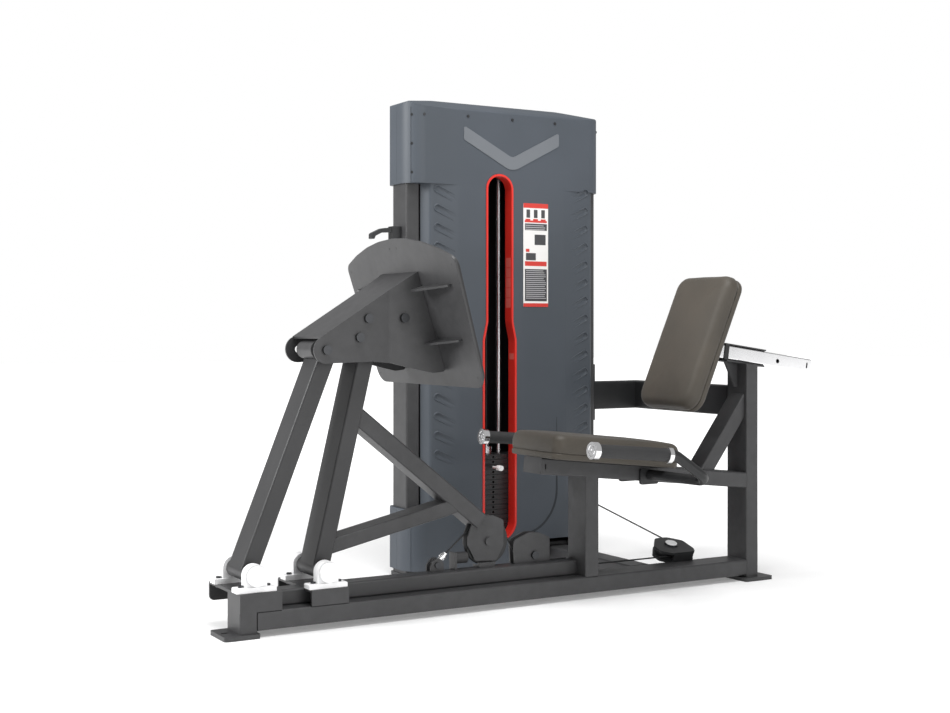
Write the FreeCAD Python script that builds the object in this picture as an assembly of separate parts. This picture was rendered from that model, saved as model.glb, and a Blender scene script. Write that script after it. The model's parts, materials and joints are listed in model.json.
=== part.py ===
import FreeCAD, Part
import math
import os

# Seated leg press with a weight-stack tower, in millimetres.
# X runs from the pivot end towards the seat end, Y from the user side to the tower, Z up.
# The origin is on the floor, at the left face of the end post, on the main rail's centre plane.

# ---- common stock ----
WALL = 3.0
TUBE_CORNER = 6.0
RUNNING_GAP = 0.05
PLAY = 0.6

# ---- base frame ----
RAIL_HALF = 50.0
RAIL_BOTTOM = 18.0
RAIL_TOP = 69.0
POST_WIDTH = 50.0
RAIL_END = 1754.0
FRAME_END = 1804.0
FOOT_THICK = 12.0
UPPER_RAIL_TOP = 115.0
UPPER_RAIL_BACK = 60.0
MID_UPRIGHT = (1113.0, 1163.0)
REAR_UPRIGHT_TOP = 718.0

# ---- pivot brackets: left edge, right edge, top ----
BRACKETS = ((0.0, 120.0, 121.0), (207.0, 318.0, 113.0))
BRACKET_THICK = 8.0
BRACKET_BACK = 195.0
BRACKET_TAIL = 66.0

# ---- linkage pivots in the XZ plane ----
FRONT_PIVOT = (49.0, 164.0)
REAR_PIVOT = (259.0, 156.0)
CARRIER_FRONT = (254.0, 768.5)
CARRIER_REAR = (381.0, 856.0)
CARRIER_BOLTS = ((354.0, 803.0), (489.5, 857.5))
LINK_PLANE = 60.0
LINK_HALF = 50.0
LINK_DEPTH = 50.0
BARREL_R = 24.0
SHAFT_R = 15.0
PIN_R = 10.0
FRONT_LINK_LINE = ((48.0, 166.0), (288.0, 768.0))
REAR_LINK_LINE = ((261.0, 156.0), (413.0, 800.0))

# ---- cable ----
CABLE_PLANE = 45.0
CABLE_R = 2.5
PULLEY_R = 52.0
GROOVE_R = 46.0
PULLEY_WIDTH = 16.0

# ---- seat and back, centred on Y = 0 ----
PAD_HALF = 135.0
SEAT_TILT = -6.1
BACK_TILT = 23.7
SLIDE_TILT = -7.9
HANDLE_SIDE = 308.0
HANDLE_R = 16.0

# ---- tower ----
TOWER_Y = 600.0
COLUMNS = ((808.0, 858.0), (1516.0, 1566.0))
COLUMN_HALF = 50.0
STACK_X = 1145.0
STACK_TOP = 395.0
PLATE_PITCH = 17.2
PLATE_COUNT = 16
LIFTED_PLATES = 3
GUIDE_OFFSET = 50.0
GUIDE_R = 10.0
BASE_TOP = 80.0
HEAD_BOTTOM = 1400.0
HEAD_TOP = 1450.0

V = FreeCAD.Vector
OUT = "parts"


# ---------------------------------------------------------------- helpers
def corner_arcs(points, radii, closed):
    """Edges through the points, with every corner that has a radius rounded by an arc."""
    count = len(points)
    if isinstance(radii, (int, float)):
        radii = [radii] * count
    entries, exits, arcs = [], [], []
    for i, corner in enumerate(points):
        is_end = not closed and i in (0, count - 1)
        if radii[i] <= 0 or is_end:
            entries.append(corner)
            exits.append(corner)
            arcs.append(None)
            continue
        back = (points[i - 1] - corner).normalize()
        ahead = (points[(i + 1) % count] - corner).normalize()
        half = back.getAngle(ahead) / 2
        reach = radii[i] / math.tan(half)
        middle = (back + ahead).normalize()
        entries.append(corner + back * reach)
        exits.append(corner + ahead * reach)
        arcs.append(corner + middle * (radii[i] / math.sin(half) - radii[i]))
    edges = []
    for i in range(count):
        if arcs[i] is not None:
            edges.append(Part.Arc(entries[i], arcs[i], exits[i]).toShape())
        following = (i + 1) % count
        if following == 0 and not closed:
            continue
        if (entries[following] - exits[i]).Length > 1e-6:
            edges.append(Part.makeLine(exits[i], entries[following]))
    return edges


def outline_face(points, radii):
    return Part.Face(Part.Wire(corner_arcs(points, radii, True)))


def plate(points, plane, low, high, radii=0):
    """Flat plate: an outline in plane "xz", "yz" or "xy", extruded from low to high."""
    if plane == "xz":
        corners = [V(a, low, b) for a, b in points]
        push = V(0, high - low, 0)
    elif plane == "yz":
        corners = [V(low, a, b) for a, b in points]
        push = V(high - low, 0, 0)
    else:
        corners = [V(a, b, low) for a, b in points]
        push = V(0, 0, high - low)
    return outline_face(corners, radii).extrude(push)


def rectangle(a0, a1, b0, b1):
    return [(a0, b0), (a1, b0), (a1, b1), (a0, b1)]


def box(x0, x1, y0, y1, z0, z1):
    return Part.makeBox(x1 - x0, y1 - y0, z1 - z0, V(x0, y0, z0))


def rod(start, end, radius, bore=0.0):
    """Round bar or, with a bore, round tube from start to end."""
    along = end - start
    bar = Part.makeCylinder(radius, along.Length, start, along)
    if bore:
        bar = bar.cut(Part.makeCylinder(bore, along.Length, start, along))
    return bar


def rod_y(x, z, y0, y1, radius, bore=0.0):
    return rod(V(x, y0, z), V(x, y1, z), radius, bore)


def tube(start, end, up, width, depth, wall=WALL, corner=TUBE_CORNER):
    """Rectangular tube from start to end; depth is measured along up, width across it."""
    along = (end - start)
    ahead = V(along).normalize()
    tall = (up - ahead * up.dot(ahead)).normalize()
    side = ahead.cross(tall)

    def loop(half_width, half_depth, radius):
        signs = ((-1, -1), (1, -1), (1, 1), (-1, 1))
        corners = [start + side * (a * half_width) + tall * (b * half_depth) for a, b in signs]
        return outline_face(corners, radius)

    solid = loop(width / 2, depth / 2, corner).extrude(along)
    if wall:
        inner = loop(width / 2 - wall, depth / 2 - wall, max(corner - wall, 1.0))
        solid = solid.cut(inner.extrude(along))
    return solid


def tube_xz(line, y0, y1, depth, wall=WALL, before=0.0, after=0.0):
    """Rectangular tube along a line in the XZ plane, with optional extra length at both ends."""
    start = V(line[0][0], (y0 + y1) / 2, line[0][1])
    end = V(line[1][0], (y0 + y1) / 2, line[1][1])
    ahead = V(end - start).normalize()
    up = V(-ahead.z, 0, ahead.x)
    return tube(start - ahead * before, end + ahead * after, up, y1 - y0, depth, wall)


def pipe(points, radius, bend, bore=0.0):
    """Round pipe swept along points, with bends of the given radius."""
    path = Part.Wire(corner_arcs(points, bend, False))
    ahead = (points[1] - points[0]).normalize()

    def sweep(size):
        ring = Part.Wire(Part.makeCircle(size, points[0], ahead))
        return path.makePipeShell([ring], True, True)

    solid = sweep(radius)
    if bore:
        solid = solid.cut(sweep(bore))
    return solid


def fused(shapes):
    whole = shapes[0].fuse(list(shapes[1:])) if len(shapes) > 1 else shapes[0]
    return whole.removeSplitter()


def turned(shape, pivot, degrees):
    """Shape tilted in the XZ plane; positive lifts the +X side."""
    copy = shape.copy()
    copy.rotate(pivot, V(0, -1, 0), degrees)
    return copy


NODES = {}


def save(name, shapes):
    """Add one shape, or a list of shapes, to a node as separate solids."""
    if not isinstance(shapes, (list, tuple)):
        shapes = [shapes]
    solids = [solid for shape in shapes for solid in shape.Solids]
    NODES.setdefault(name, []).extend(solids)


def write_nodes():
    for name, solids in NODES.items():
        whole = solids[0] if len(solids) == 1 else Part.makeCompound(solids)
        whole.exportStep(os.path.join(OUT, name + ".step"))


def hex_bolt(start, end, shank, head, head_high):
    """Button-head bolt: its head sits before start, its nut after end, both outside the clamp."""
    ahead = (end - start).normalize()
    parts = [rod(start, end, shank)]
    parts.append(rod(start - ahead * head_high, start, head))
    parts.append(rod(end, end + ahead * head_high, head))
    return fused(parts)


# ---------------------------------------------------------------- base frame
def end_post():
    left, right, top = BRACKETS[0]
    low, high = V(POST_WIDTH / 2, 0, FOOT_THICK), V(POST_WIDTH / 2, 0, top - BRACKET_THICK)
    post = tube(low, high, V(1, 0, 0), 2 * RAIL_HALF, POST_WIDTH)
    flange_space = box(left - 1, POST_WIDTH + 1, -RAIL_HALF - 1, -RAIL_HALF + BRACKET_THICK,
                       RAIL_TOP, top)
    save("uprights", post.cut(flange_space))


def main_rail():
    middle = (RAIL_BOTTOM + RAIL_TOP) / 2
    rail = tube(V(POST_WIDTH, 0, middle), V(RAIL_END, 0, middle), V(0, 0, 1),
                2 * RAIL_HALF, RAIL_TOP - RAIL_BOTTOM)
    save("rails", rail)


def upper_rail():
    """Second rail on the back half of the main rail, packed under both pivot brackets."""
    gap = 1.0
    starts = (POST_WIDTH + gap, BRACKETS[1][0] - gap, BRACKETS[1][1])
    ends = (BRACKETS[1][0] - gap, BRACKETS[1][1], MID_UPRIGHT[0])
    tops = (BRACKETS[0][2] - BRACKET_THICK, BRACKETS[1][2] - BRACKET_THICK, UPPER_RAIL_TOP)
    parts = []
    for x0, x1, top in zip(starts, ends, tops):
        middle = (RAIL_TOP + top) / 2
        centre = UPPER_RAIL_BACK / 2
        parts.append(tube(V(x0, centre, middle), V(x1, centre, middle), V(0, 0, 1),
                          UPPER_RAIL_BACK, top - RAIL_TOP))
    trench = box(905, MID_UPRIGHT[0] + 1, CABLE_PLANE - 11, CABLE_PLANE + 11, 80, 130)
    save("rails", fused(parts).cut(trench))


def pivot_brackets():
    """Two inverted channels that carry the pivots, with a long tail behind the rail."""
    shapes = []
    for left, right, top in BRACKETS:
        deck = [(-RAIL_HALF, RAIL_TOP), (-RAIL_HALF, top),
                (BRACKET_BACK, top), (BRACKET_BACK, BRACKET_TAIL),
                (BRACKET_BACK - BRACKET_THICK, BRACKET_TAIL),
                (BRACKET_BACK - BRACKET_THICK, top - BRACKET_THICK),
                (BRACKET_THICK - RAIL_HALF, top - BRACKET_THICK),
                (BRACKET_THICK - RAIL_HALF, RAIL_TOP)]
        radii = [0, 4, BRACKET_THICK, 0, 0, 2, 0, 0]
        channel = plate(deck, "yz", left, right, radii)
        flange = plate(rectangle(left, right, BRACKET_TAIL, top), "xz",
                       BRACKET_BACK - BRACKET_THICK - 1, BRACKET_BACK + 1, [14, 14, 0, 0])
        keep = fused([flange, box(left, right, -RAIL_HALF, BRACKET_BACK - BRACKET_THICK - 1,
                                  RAIL_TOP, top)])
        channel = channel.common(keep)
        for bolt_x, bolt_y in bracket_bolt_places(left, right):
            channel = channel.cut(rod(V(bolt_x, bolt_y, RAIL_TOP), V(bolt_x, bolt_y, top + 1), 5.3))
        shapes.append(channel)
    save("pivot_brackets", shapes)


PILLOW_SIDES = ((-45.0, -7.0), (125.0, 163.0))
PILLOW_BOLT_X = 39.0


def bracket_bolt_places(left, right):
    """Bolt places of the pillow blocks on the bracket that starts at left."""
    centre_x = FRONT_PIVOT[0] if left == BRACKETS[0][0] else REAR_PIVOT[0]
    for y0, y1 in PILLOW_SIDES:
        for side in (-1, 1):
            yield centre_x + side * PILLOW_BOLT_X, (y0 + y1) / 2


def foot_plates():
    """Left foot with its floor bolt slot and right foot under the rear upright."""
    left = plate(rectangle(-46, 56, -60, 60), "xy", 0, FOOT_THICK, 10)
    slot = plate(rectangle(-36, -14, -6, 6), "xy", -1, FOOT_THICK + 1, 5.9)
    right = plate(rectangle(1735, 1850, -70, 60), "xy", 0, FOOT_THICK, 10)
    hole = rod(V(1832, 0, -1), V(1832, 0, FOOT_THICK + 1), 6)
    save("floor_feet", [left.cut(slot), right.cut(hole)])


def mid_upright():
    left, right = MID_UPRIGHT
    centre = (left + right) / 2
    post = tube(V(centre, 0, RAIL_TOP), V(centre, 0, 400), V(1, 0, 0), 2 * RAIL_HALF, right - left)
    notch = box(left - 1, right + 1, CABLE_PLANE - 9, RAIL_HALF + 1, 78, 98)
    save("uprights", post.cut(notch).cut(seat_beam_envelope()))


def rear_upright():
    centre = (RAIL_END + FRAME_END) / 2
    post = tube(V(centre, 0, FOOT_THICK), V(centre, 0, REAR_UPRIGHT_TOP), V(1, 0, 0),
                2 * RAIL_HALF, FRAME_END - RAIL_END)
    above = turned(box(1600, 2000, -200, 200, 0, 200), V(1779, 0, 0), SLIDE_TILT)
    above.translate(V(0, 0, sleeve_floor_z(1779)))
    save("uprights", post.cut(above))


BEAM_START = V(952, 0, 415.5)
BEAM_DEPTH = 50.0
BEAM_END_X = RAIL_END
BEAM_SLOPE = math.tan(math.radians(SEAT_TILT))


def beam_centre_z(x):
    return BEAM_START.z + (x - BEAM_START.x) * BEAM_SLOPE


def seat_beam_line():
    return ((BEAM_START.x, BEAM_START.z), (BEAM_END_X, beam_centre_z(BEAM_END_X)))


def seat_beam_envelope():
    return tube_xz(seat_beam_line(), -RAIL_HALF, RAIL_HALF, BEAM_DEPTH, 0, 0, 20)


def seat_beam():
    beam = tube_xz(seat_beam_line(), -RAIL_HALF, RAIL_HALF, BEAM_DEPTH, WALL, 0, 20)
    beam = beam.cut(box(RAIL_END, RAIL_END + 60, -60, 60, 200, 500))
    slot = plate(rectangle(965, 969, 405, 421), "xz", -RAIL_HALF - 1, 0, 1.9)
    cap_line = (seat_beam_line()[0], point_beyond(seat_beam_line(), 4, False))
    cap = tube_xz(cap_line, -RAIL_HALF + WALL, RAIL_HALF - WALL, BEAM_DEPTH - 2 * WALL, 0)
    save("seat_beam", [beam.cut(slot), cap])


def seat_brace():
    """Diagonal from the rear upright down to the seat beam."""
    line = ((1560, 318), (1790, 620))
    brace = tube_xz(line, -37, 37, BEAM_DEPTH)
    brace = brace.cut(seat_beam_envelope())
    brace = brace.cut(box(RAIL_END, RAIL_END + 200, -60, 60, 100, 800))
    save("seat_brace", brace.common(box(1400, RAIL_END, -60, 60, beam_centre_z(1560), 800)))


SLEEVE_TOP = V(1769.5, 0, 769)
SLEEVE_HALF_Y = (-30.0, 38.0)
SLIDE_SIZE = 45.0
SLIDE_DROP = 28.5
SLEEVE_HIGH = 58.0
SLEEVE_ROOF = 4.0
SLEEVE_FLOOR = 5.0
PIN_X = 1790.0


def sleeve_floor_z(x):
    """Height of the sleeve's underside, which rests on the rear upright."""
    slope = math.radians(SLIDE_TILT)
    return SLEEVE_TOP.z - SLEEVE_HIGH / math.cos(slope) + (x - SLEEVE_TOP.x) * math.tan(slope)


def slide_frame(shape):
    """Tilt a shape modelled level about the sleeve's top centre to the slide's slope."""
    return turned(shape, SLEEVE_TOP, SLIDE_TILT)


def slide_sleeve():
    """Sleeve on the rear upright, open on the user side, with a gusset under its front end."""
    x0, x1 = 1683, 1857
    y0, y1 = SLEEVE_HALF_Y
    top = SLEEVE_TOP.z
    bottom = top - SLEEVE_HIGH
    roof = box(x0, x1, y0, y1, top - SLEEVE_ROOF, top)
    floor = box(x0 + 12, x1, y0, y1, bottom, bottom + SLEEVE_FLOOR)
    wall = box(x0, x1, y1 - 8, y1, bottom, top)
    housing = rod(V(PIN_X, y1, top - SLIDE_DROP), V(PIN_X, y1 + 18, top - SLIDE_DROP), 11)
    hole = rod(V(PIN_X, 0, top - SLIDE_DROP), V(PIN_X, 90, top - SLIDE_DROP), 4 + RUNNING_GAP)
    save("slide_sleeve", slide_frame(fused([roof, floor, wall, housing]).cut(hole)))
    gusset = [(1700, sleeve_floor_z(1700)), (RAIL_END, sleeve_floor_z(RAIL_END)),
              (RAIL_END, sleeve_floor_z(RAIL_END) - 78), (1744, sleeve_floor_z(RAIL_END) - 78)]
    save("slide_sleeve", plate(gusset, "xz", -4, 4))


def sleeve_bushes():
    """Plastic guides of the chrome tube: a whole collar in front, an open one at the back."""
    y0, y1 = SLEEVE_HALF_Y
    top = SLEEVE_TOP.z
    middle_z = top - SLIDE_DROP
    half = SLIDE_SIZE / 2 + 0.3
    shapes = []
    for x, near in ((1683, y0), (1840, SLIDE_Y - half)):
        block = box(x, x + 16, near, y1 - 8, top - SLEEVE_HIGH + SLEEVE_FLOOR, top - SLEEVE_ROOF)
        window = box(x - 1, x + 17, SLIDE_Y - half, SLIDE_Y + half, middle_z - half, middle_z + half)
        shapes.append(slide_frame(largest(block.cut(window))))
    save("sleeve_bushes", shapes)


SLIDE_Y = -4.0


def cross_arm():
    """L-shaped arm from the rear upright back and across to the tower's right column."""
    low, high = 538, 638
    middle = (low + high) / 2
    leg_y = tube(V(1779, RAIL_HALF, middle), V(1779, 610, middle), V(0, 0, 1), 50, high - low)
    leg_x = tube(V(1576, 585, middle), V(1779, 585, middle), V(0, 0, 1), 50, high - low)
    flange = box(1566, 1576, 560, 640, 500, 700)
    for z in (517, 679):
        for y in (578, 622):
            flange = flange.cut(rod(V(1560, y, z), V(1580, y, z), 5.5))
    save("cross_arm", fused([leg_y, leg_x, flange]))


def base_cross_tube():
    """Floor tube from the main rail back to the tower base."""
    save("cross_tubes", tube(V(1392, RAIL_HALF, 44), V(1392, 550, 44), V(0, 0, 1), 76, 50))


# ---------------------------------------------------------------- pivots
def pillow_blocks():
    """Four cast blocks: a foot with two bolt slots and an arch round the shaft."""
    shapes = []
    for (left, right, top), pivot in zip(BRACKETS, (FRONT_PIVOT, REAR_PIVOT)):
        for y0, y1 in PILLOW_SIDES:
            foot = plate(rectangle(pivot[0] - 57, pivot[0] + 57, top, top + 14), "xz",
                         y0, y1, [1, 1, 4, 4])
            arch = plate([(pivot[0] - 31, top), (pivot[0] + 31, top), (pivot[0] + 31, pivot[1] + 31),
                          (pivot[0] - 31, pivot[1] + 31)], "xz", y0 + 4, y1 - 4, [0, 0, 30.5, 30.5])
            block = fused([foot, arch]).cut(rod_y(pivot[0], pivot[1], y0 - 1, y1 + 1, SHAFT_R))
            for bolt_x, bolt_y in bracket_bolt_places(left, right):
                if y0 < bolt_y < y1:
                    block = block.cut(rod(V(bolt_x, bolt_y, top - 1), V(bolt_x, bolt_y, top + 15), 5.3))
            shapes.append(block)
    save("pillow_blocks", shapes)


def bearing_caps():
    """Round covers over the outer faces of the pillow blocks."""
    shapes = []
    for pivot in (FRONT_PIVOT, REAR_PIVOT):
        for y0, y1 in ((-53.0, -45.0), (163.0, 171.0)):
            shapes.append(rod_y(pivot[0], pivot[1], y0, y1, 27.5))
    save("pillow_blocks", shapes)


def pillow_bolts():
    shapes = []
    for (left, right, top) in BRACKETS:
        for x, y in bracket_bolt_places(left, right):
            shapes.append(hex_bolt(V(x, y, top + 14), V(x, y, top - BRACKET_THICK), 5, 7, 5))
    save("frame_screws", shapes)


def pivot_shafts():
    shapes = [rod_y(x, z, -44, 162, SHAFT_R - RUNNING_GAP) for x, z in (FRONT_PIVOT, REAR_PIVOT)]
    save("pivot_shafts", shapes)


def barrel(pivot):
    return rod_y(pivot[0], pivot[1], -6, 124, BARREL_R)


def shaft_hole(pivot, radius=SHAFT_R):
    return rod_y(pivot[0], pivot[1], -300, 400, radius)


# ---------------------------------------------------------------- front and rear links
TOP_BARREL_R = 25.0
OPEN_BORE_R = 17.5


def front_link():
    """Front link: tube, lower barrel and, at the open pivot, an upper barrel with a wide bore."""
    y0, y1 = LINK_PLANE - LINK_HALF, LINK_PLANE + LINK_HALF
    arm = tube_xz(FRONT_LINK_LINE, y0, y1, LINK_DEPTH, WALL)
    top = rod_y(CARRIER_FRONT[0], CARRIER_FRONT[1], y0, y1, TOP_BARREL_R)
    solid = fused([arm, barrel(FRONT_PIVOT), top])
    solid = solid.cut(shaft_hole(FRONT_PIVOT)).cut(shaft_hole(CARRIER_FRONT, OPEN_BORE_R))
    save("front_link", solid)


def rear_link():
    y0, y1 = LINK_PLANE - LINK_HALF, LINK_PLANE + LINK_HALF
    arm = tube_xz(REAR_LINK_LINE, y0, y1, LINK_DEPTH, WALL, 0, 50)
    top = rod_y(CARRIER_REAR[0], CARRIER_REAR[1], y0, y1, TOP_BARREL_R)
    solid = fused([arm, barrel(REAR_PIVOT), top])
    solid = solid.cut(shaft_hole(REAR_PIVOT)).cut(shaft_hole(CARRIER_REAR, PIN_R + RUNNING_GAP))
    save("rear_link", solid)


ARM_HALF = 37.5
UPPER_ARM_LINE = ((400, 565), (783.5, 256))
LOWER_BRACE_LINE = ((290, 214), (700, 303.5))
ARM_DEPTH = 50.0
BRACE_DEPTH = 42.0


def link_envelope():
    y0, y1 = LINK_PLANE - LINK_HALF, LINK_PLANE + LINK_HALF
    return tube_xz(REAR_LINK_LINE, y0, y1, LINK_DEPTH, 0, 0, 50)


def upper_arm():
    y0, y1 = LINK_PLANE - ARM_HALF, LINK_PLANE + ARM_HALF
    arm = tube_xz(UPPER_ARM_LINE, y0, y1, ARM_DEPTH, WALL, 40)
    behind = box(100, 425, -10, 130, 400, 700)
    arm = arm.cut(link_envelope())
    pulley_space = rod_y(ARM_PULLEY[0], ARM_PULLEY[1], CABLE_PLANE - SIDE_GAP,
                         CABLE_PLANE + SIDE_GAP, ARM_PULLEY_R + 6)
    arm = largest(arm).cut(behind.common(link_envelope())).cut(pulley_space)
    save("arm_tubes", largest(arm))


def lower_brace():
    y0, y1 = LINK_PLANE - ARM_HALF, LINK_PLANE + ARM_HALF
    brace = tube_xz(LOWER_BRACE_LINE, y0, y1, BRACE_DEPTH, WALL)
    brace = brace.cut(link_envelope()).cut(barrel(REAR_PIVOT))
    brace = brace.cut(tube_xz(UPPER_ARM_LINE, y0 - 1, y1 + 1, ARM_DEPTH, 0, 40))
    save("arm_tubes", largest(brace))


# ---------------------------------------------------------------- cable pulleys on the arm and rail
ARM_PULLEY = (813.0, 191.0)
ARM_PULLEY_R = 72.0
ARM_GROOVE_R = 63.5
BASE_PULLEY = (978.0, 137.0)
BASE_PULLEY_R = 53.0
BASE_GROOVE_R = 46.9
SIDE_GAP = 10.0
SIDE_THICK = 6.0
PULLEY_BOLT_R = 8.0


def grooved_wheel(centre, axis, radius, groove, width, bore):
    """Cable pulley: a turned profile with a V groove, hubs and a bearing bore."""
    half = width / 2
    groove -= 2 * RUNNING_GAP
    hub = bore + 9.0
    web = half - 2.5
    points = [(bore, -half - 1), (hub, -half - 1), (hub, -web), (groove - 8, -web),
              (groove - 8, -half), (radius, -half), (groove, -2.0), (groove, 2.0), (radius, half),
              (groove - 8, half), (groove - 8, web), (hub, web), (hub, half + 1), (bore, half + 1)]
    profile = Part.Face(Part.makePolygon([V(r, 0, h) for r, h in points] + [V(bore, 0, -half - 1)]))
    wheel = profile.revolve(V(0, 0, 0), V(0, 0, 1), 360)
    wheel.Placement = FreeCAD.Placement(centre, FreeCAD.Rotation(V(0, 0, 1), axis))
    return wheel


def side_plates(points, plane_y, radii):
    """Pair of plates either side of a pulley whose mid-plane is at plane_y."""
    shapes = []
    for inner in (plane_y - SIDE_GAP - SIDE_THICK, plane_y + SIDE_GAP):
        shapes.append(plate(points, "xz", inner, inner + SIDE_THICK, radii))
    return shapes


def arm_pulley_fork():
    """Two polygon plates in the arm's open end, with the cap that closes the tube round them."""
    outline = [(802, 269), (831, 267), (862, 254), (867, 249), (867, 176), (842, 131),
               (769, 136), (743, 183), (743, 208), (752, 231), (765, 262)]
    plates = side_plates(outline, CABLE_PLANE, [3, 10, 6, 6, 14, 10, 10, 14, 8, 8, 4])
    y0, y1 = LINK_PLANE - ARM_HALF, LINK_PLANE + ARM_HALF
    cap_line = (UPPER_ARM_LINE[1], point_beyond(UPPER_ARM_LINE, 6))
    cap = tube_xz(cap_line, y0, y1, ARM_DEPTH, 0)
    window = rod_y(ARM_PULLEY[0], ARM_PULLEY[1], CABLE_PLANE - SIDE_GAP, CABLE_PLANE + SIDE_GAP,
                   ARM_PULLEY_R + 2)
    arm_space = tube_xz(UPPER_ARM_LINE, y0, y1, ARM_DEPTH, 0, 40)
    fork = fused([piece.cut(arm_space) for piece in plates] + [cap.cut(window)])
    save("arm_pulley_fork", fork.cut(pulley_hole(ARM_PULLEY)))


def point_beyond(line, distance, from_end=True):
    """Point on the line, at a distance past its end or past its start."""
    (x0, z0), (x1, z1) = line
    length = math.hypot(x1 - x0, z1 - z0)
    x, z = line[1] if from_end else line[0]
    return (x + (x1 - x0) / length * distance, z + (z1 - z0) / length * distance)


def pulley_hole(centre):
    return rod_y(centre[0], centre[1], CABLE_PLANE - 40, CABLE_PLANE + 40, PULLEY_BOLT_R)


def pulley_bolt(centre):
    outer = SIDE_GAP + SIDE_THICK
    return hex_bolt(V(centre[0], CABLE_PLANE - outer, centre[1]),
                    V(centre[0], CABLE_PLANE + outer, centre[1]), PULLEY_BOLT_R - RUNNING_GAP, 12, 7)


def arm_pulley():
    save("arm_pulley", grooved_wheel(V(ARM_PULLEY[0], CABLE_PLANE, ARM_PULLEY[1]), V(0, 1, 0),
                                     ARM_PULLEY_R, ARM_GROOVE_R, PULLEY_WIDTH, PULLEY_BOLT_R))
    save("arm_pulley_fork", pulley_bolt(ARM_PULLEY))


def base_pulley():
    save("base_pulley", grooved_wheel(V(BASE_PULLEY[0], CABLE_PLANE, BASE_PULLEY[1]), V(0, 1, 0),
                                      BASE_PULLEY_R, BASE_GROOVE_R, PULLEY_WIDTH, PULLEY_BOLT_R))
    save("pulley_bolts", pulley_bolt(BASE_PULLEY))
    outline = [(910, 69), (1033, 69), (1033, 188), (995, 204), (958, 207), (903, 186)]
    plates = side_plates(outline, CABLE_PLANE, [0, 0, 12, 30, 30, 16])
    rail = box(900, 1050, 0, 100, 0, UPPER_RAIL_TOP)
    save("rail_brackets", [piece.cut(pulley_hole(BASE_PULLEY)).cut(rail) for piece in plates])


def cable_anchor():
    """Fork on the rail that holds the fixed end of the cable, with its chrome adjuster."""
    outline = [(618, UPPER_RAIL_TOP), (662, UPPER_RAIL_TOP), (662, 138), (648, 154), (632, 150),
               (618, 132)]
    plates = side_plates(outline, CABLE_PLANE, [0, 0, 8, 8, 8, 8])
    hole = rod_y(ANCHOR[0], ANCHOR[1], 0, 90, 6)
    save("rail_brackets", [piece.cut(hole) for piece in plates])
    outer = SIDE_GAP + SIDE_THICK
    save("pulley_bolts", hex_bolt(V(ANCHOR[0], CABLE_PLANE - outer, ANCHOR[1]),
                                 V(ANCHOR[0], CABLE_PLANE + outer, ANCHOR[1]), 5.9, 9, 5))
    ahead = cable_point(1.0) - cable_point(0.0)
    eye = rod_y(ANCHOR[0], ANCHOR[1], CABLE_PLANE - 8, CABLE_PLANE + 8, 11, 6)
    stem = rod(cable_point(10.5), cable_point(46), 7)
    nut = Part.makeCylinder(10, 9, cable_point(28), ahead)
    save("cable_adjuster", fused([eye, stem, nut]))


ANCHOR = (640.0, 134.0)
ANCHOR_REACH = math.hypot(ARM_PULLEY[0] - ANCHOR[0], ARM_PULLEY[1] - ANCHOR[1])
ANCHOR_ANGLE = (math.atan2(ARM_PULLEY[1] - ANCHOR[1], ARM_PULLEY[0] - ANCHOR[0])
                + math.asin((ARM_GROOVE_R + CABLE_R) / ANCHOR_REACH))


def cable_point(distance):
    """Point on the first cable run, at a distance from the anchor bolt."""
    return V(ANCHOR[0] + distance * math.cos(ANCHOR_ANGLE), CABLE_PLANE,
             ANCHOR[1] + distance * math.sin(ANCHOR_ANGLE))


def stop_bumper():
    """Rubber buffer in front of the arm's pulley fork, and the block that lies under the fork."""
    save("rail_brackets", box(696, 702, 22, 58, UPPER_RAIL_TOP, 166))
    save("rubber_buffers", rod(V(702, 40, 148), V(742, 40, 148), 17))
    rest = box(778, 832, 20, 60, UPPER_RAIL_TOP, 129.5)
    save("rail_brackets", largest(rest.cut(rod_y(ARM_PULLEY[0], ARM_PULLEY[1], 34, 61,
                                                 ARM_PULLEY_R + 4))))


# ---------------------------------------------------------------- carrier and foot plate
SIDE_WALL = 6.0
CARRIER_HALF = 102.0
CARRIER_FLARE = 124.0
FLARE_START_X = 450.0
FLARE_SLOPE = 0.16
PLATE_X = 573.0
PLATE_Z = 850.0
PLATE_LEAN = 0.30
BOSS_R = 38.0


def plate_back_x(z):
    """Back surface of the foot plate at height z."""
    return PLATE_X - PLATE_LEAN * (z - PLATE_Z)


def carrier_profile():
    """Side outline of the folded carrier, as a slab wide enough to cut both walls."""
    outline = [(238.6, 805), (plate_back_x(989.4) - 1, 989.4), (plate_back_x(705) - 1, 705),
               (576, 701), (520, 713),
               (453, 730), (396, 735), (254, 731)]
    y0, y1 = LINK_PLANE - 150, LINK_PLANE + 150
    slab = plate(outline, "xz", y0, y1, [0, 0, 8, 30, 60, 100, 60, 0])
    boss = rod_y(CARRIER_FRONT[0], CARRIER_FRONT[1], y0, y1, BOSS_R)
    return fused([slab, boss])


def carrier_wall(side):
    """One folded side wall; side is -1 on the user side of the link plane, +1 on the far side."""
    near, flare = CARRIER_HALF, CARRIER_FLARE
    strip = [(200, near), (FLARE_START_X, near), (640, flare + 6), (640, flare + 6 - SIDE_WALL),
             (FLARE_START_X, near - SIDE_WALL), (200, near - SIDE_WALL)]
    points = [(x, LINK_PLANE + side * y) for x, y in strip]
    return plate(points, "xy", 640, 1020, [0, 80, 0, 0, 74, 0]).common(carrier_profile())


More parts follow.
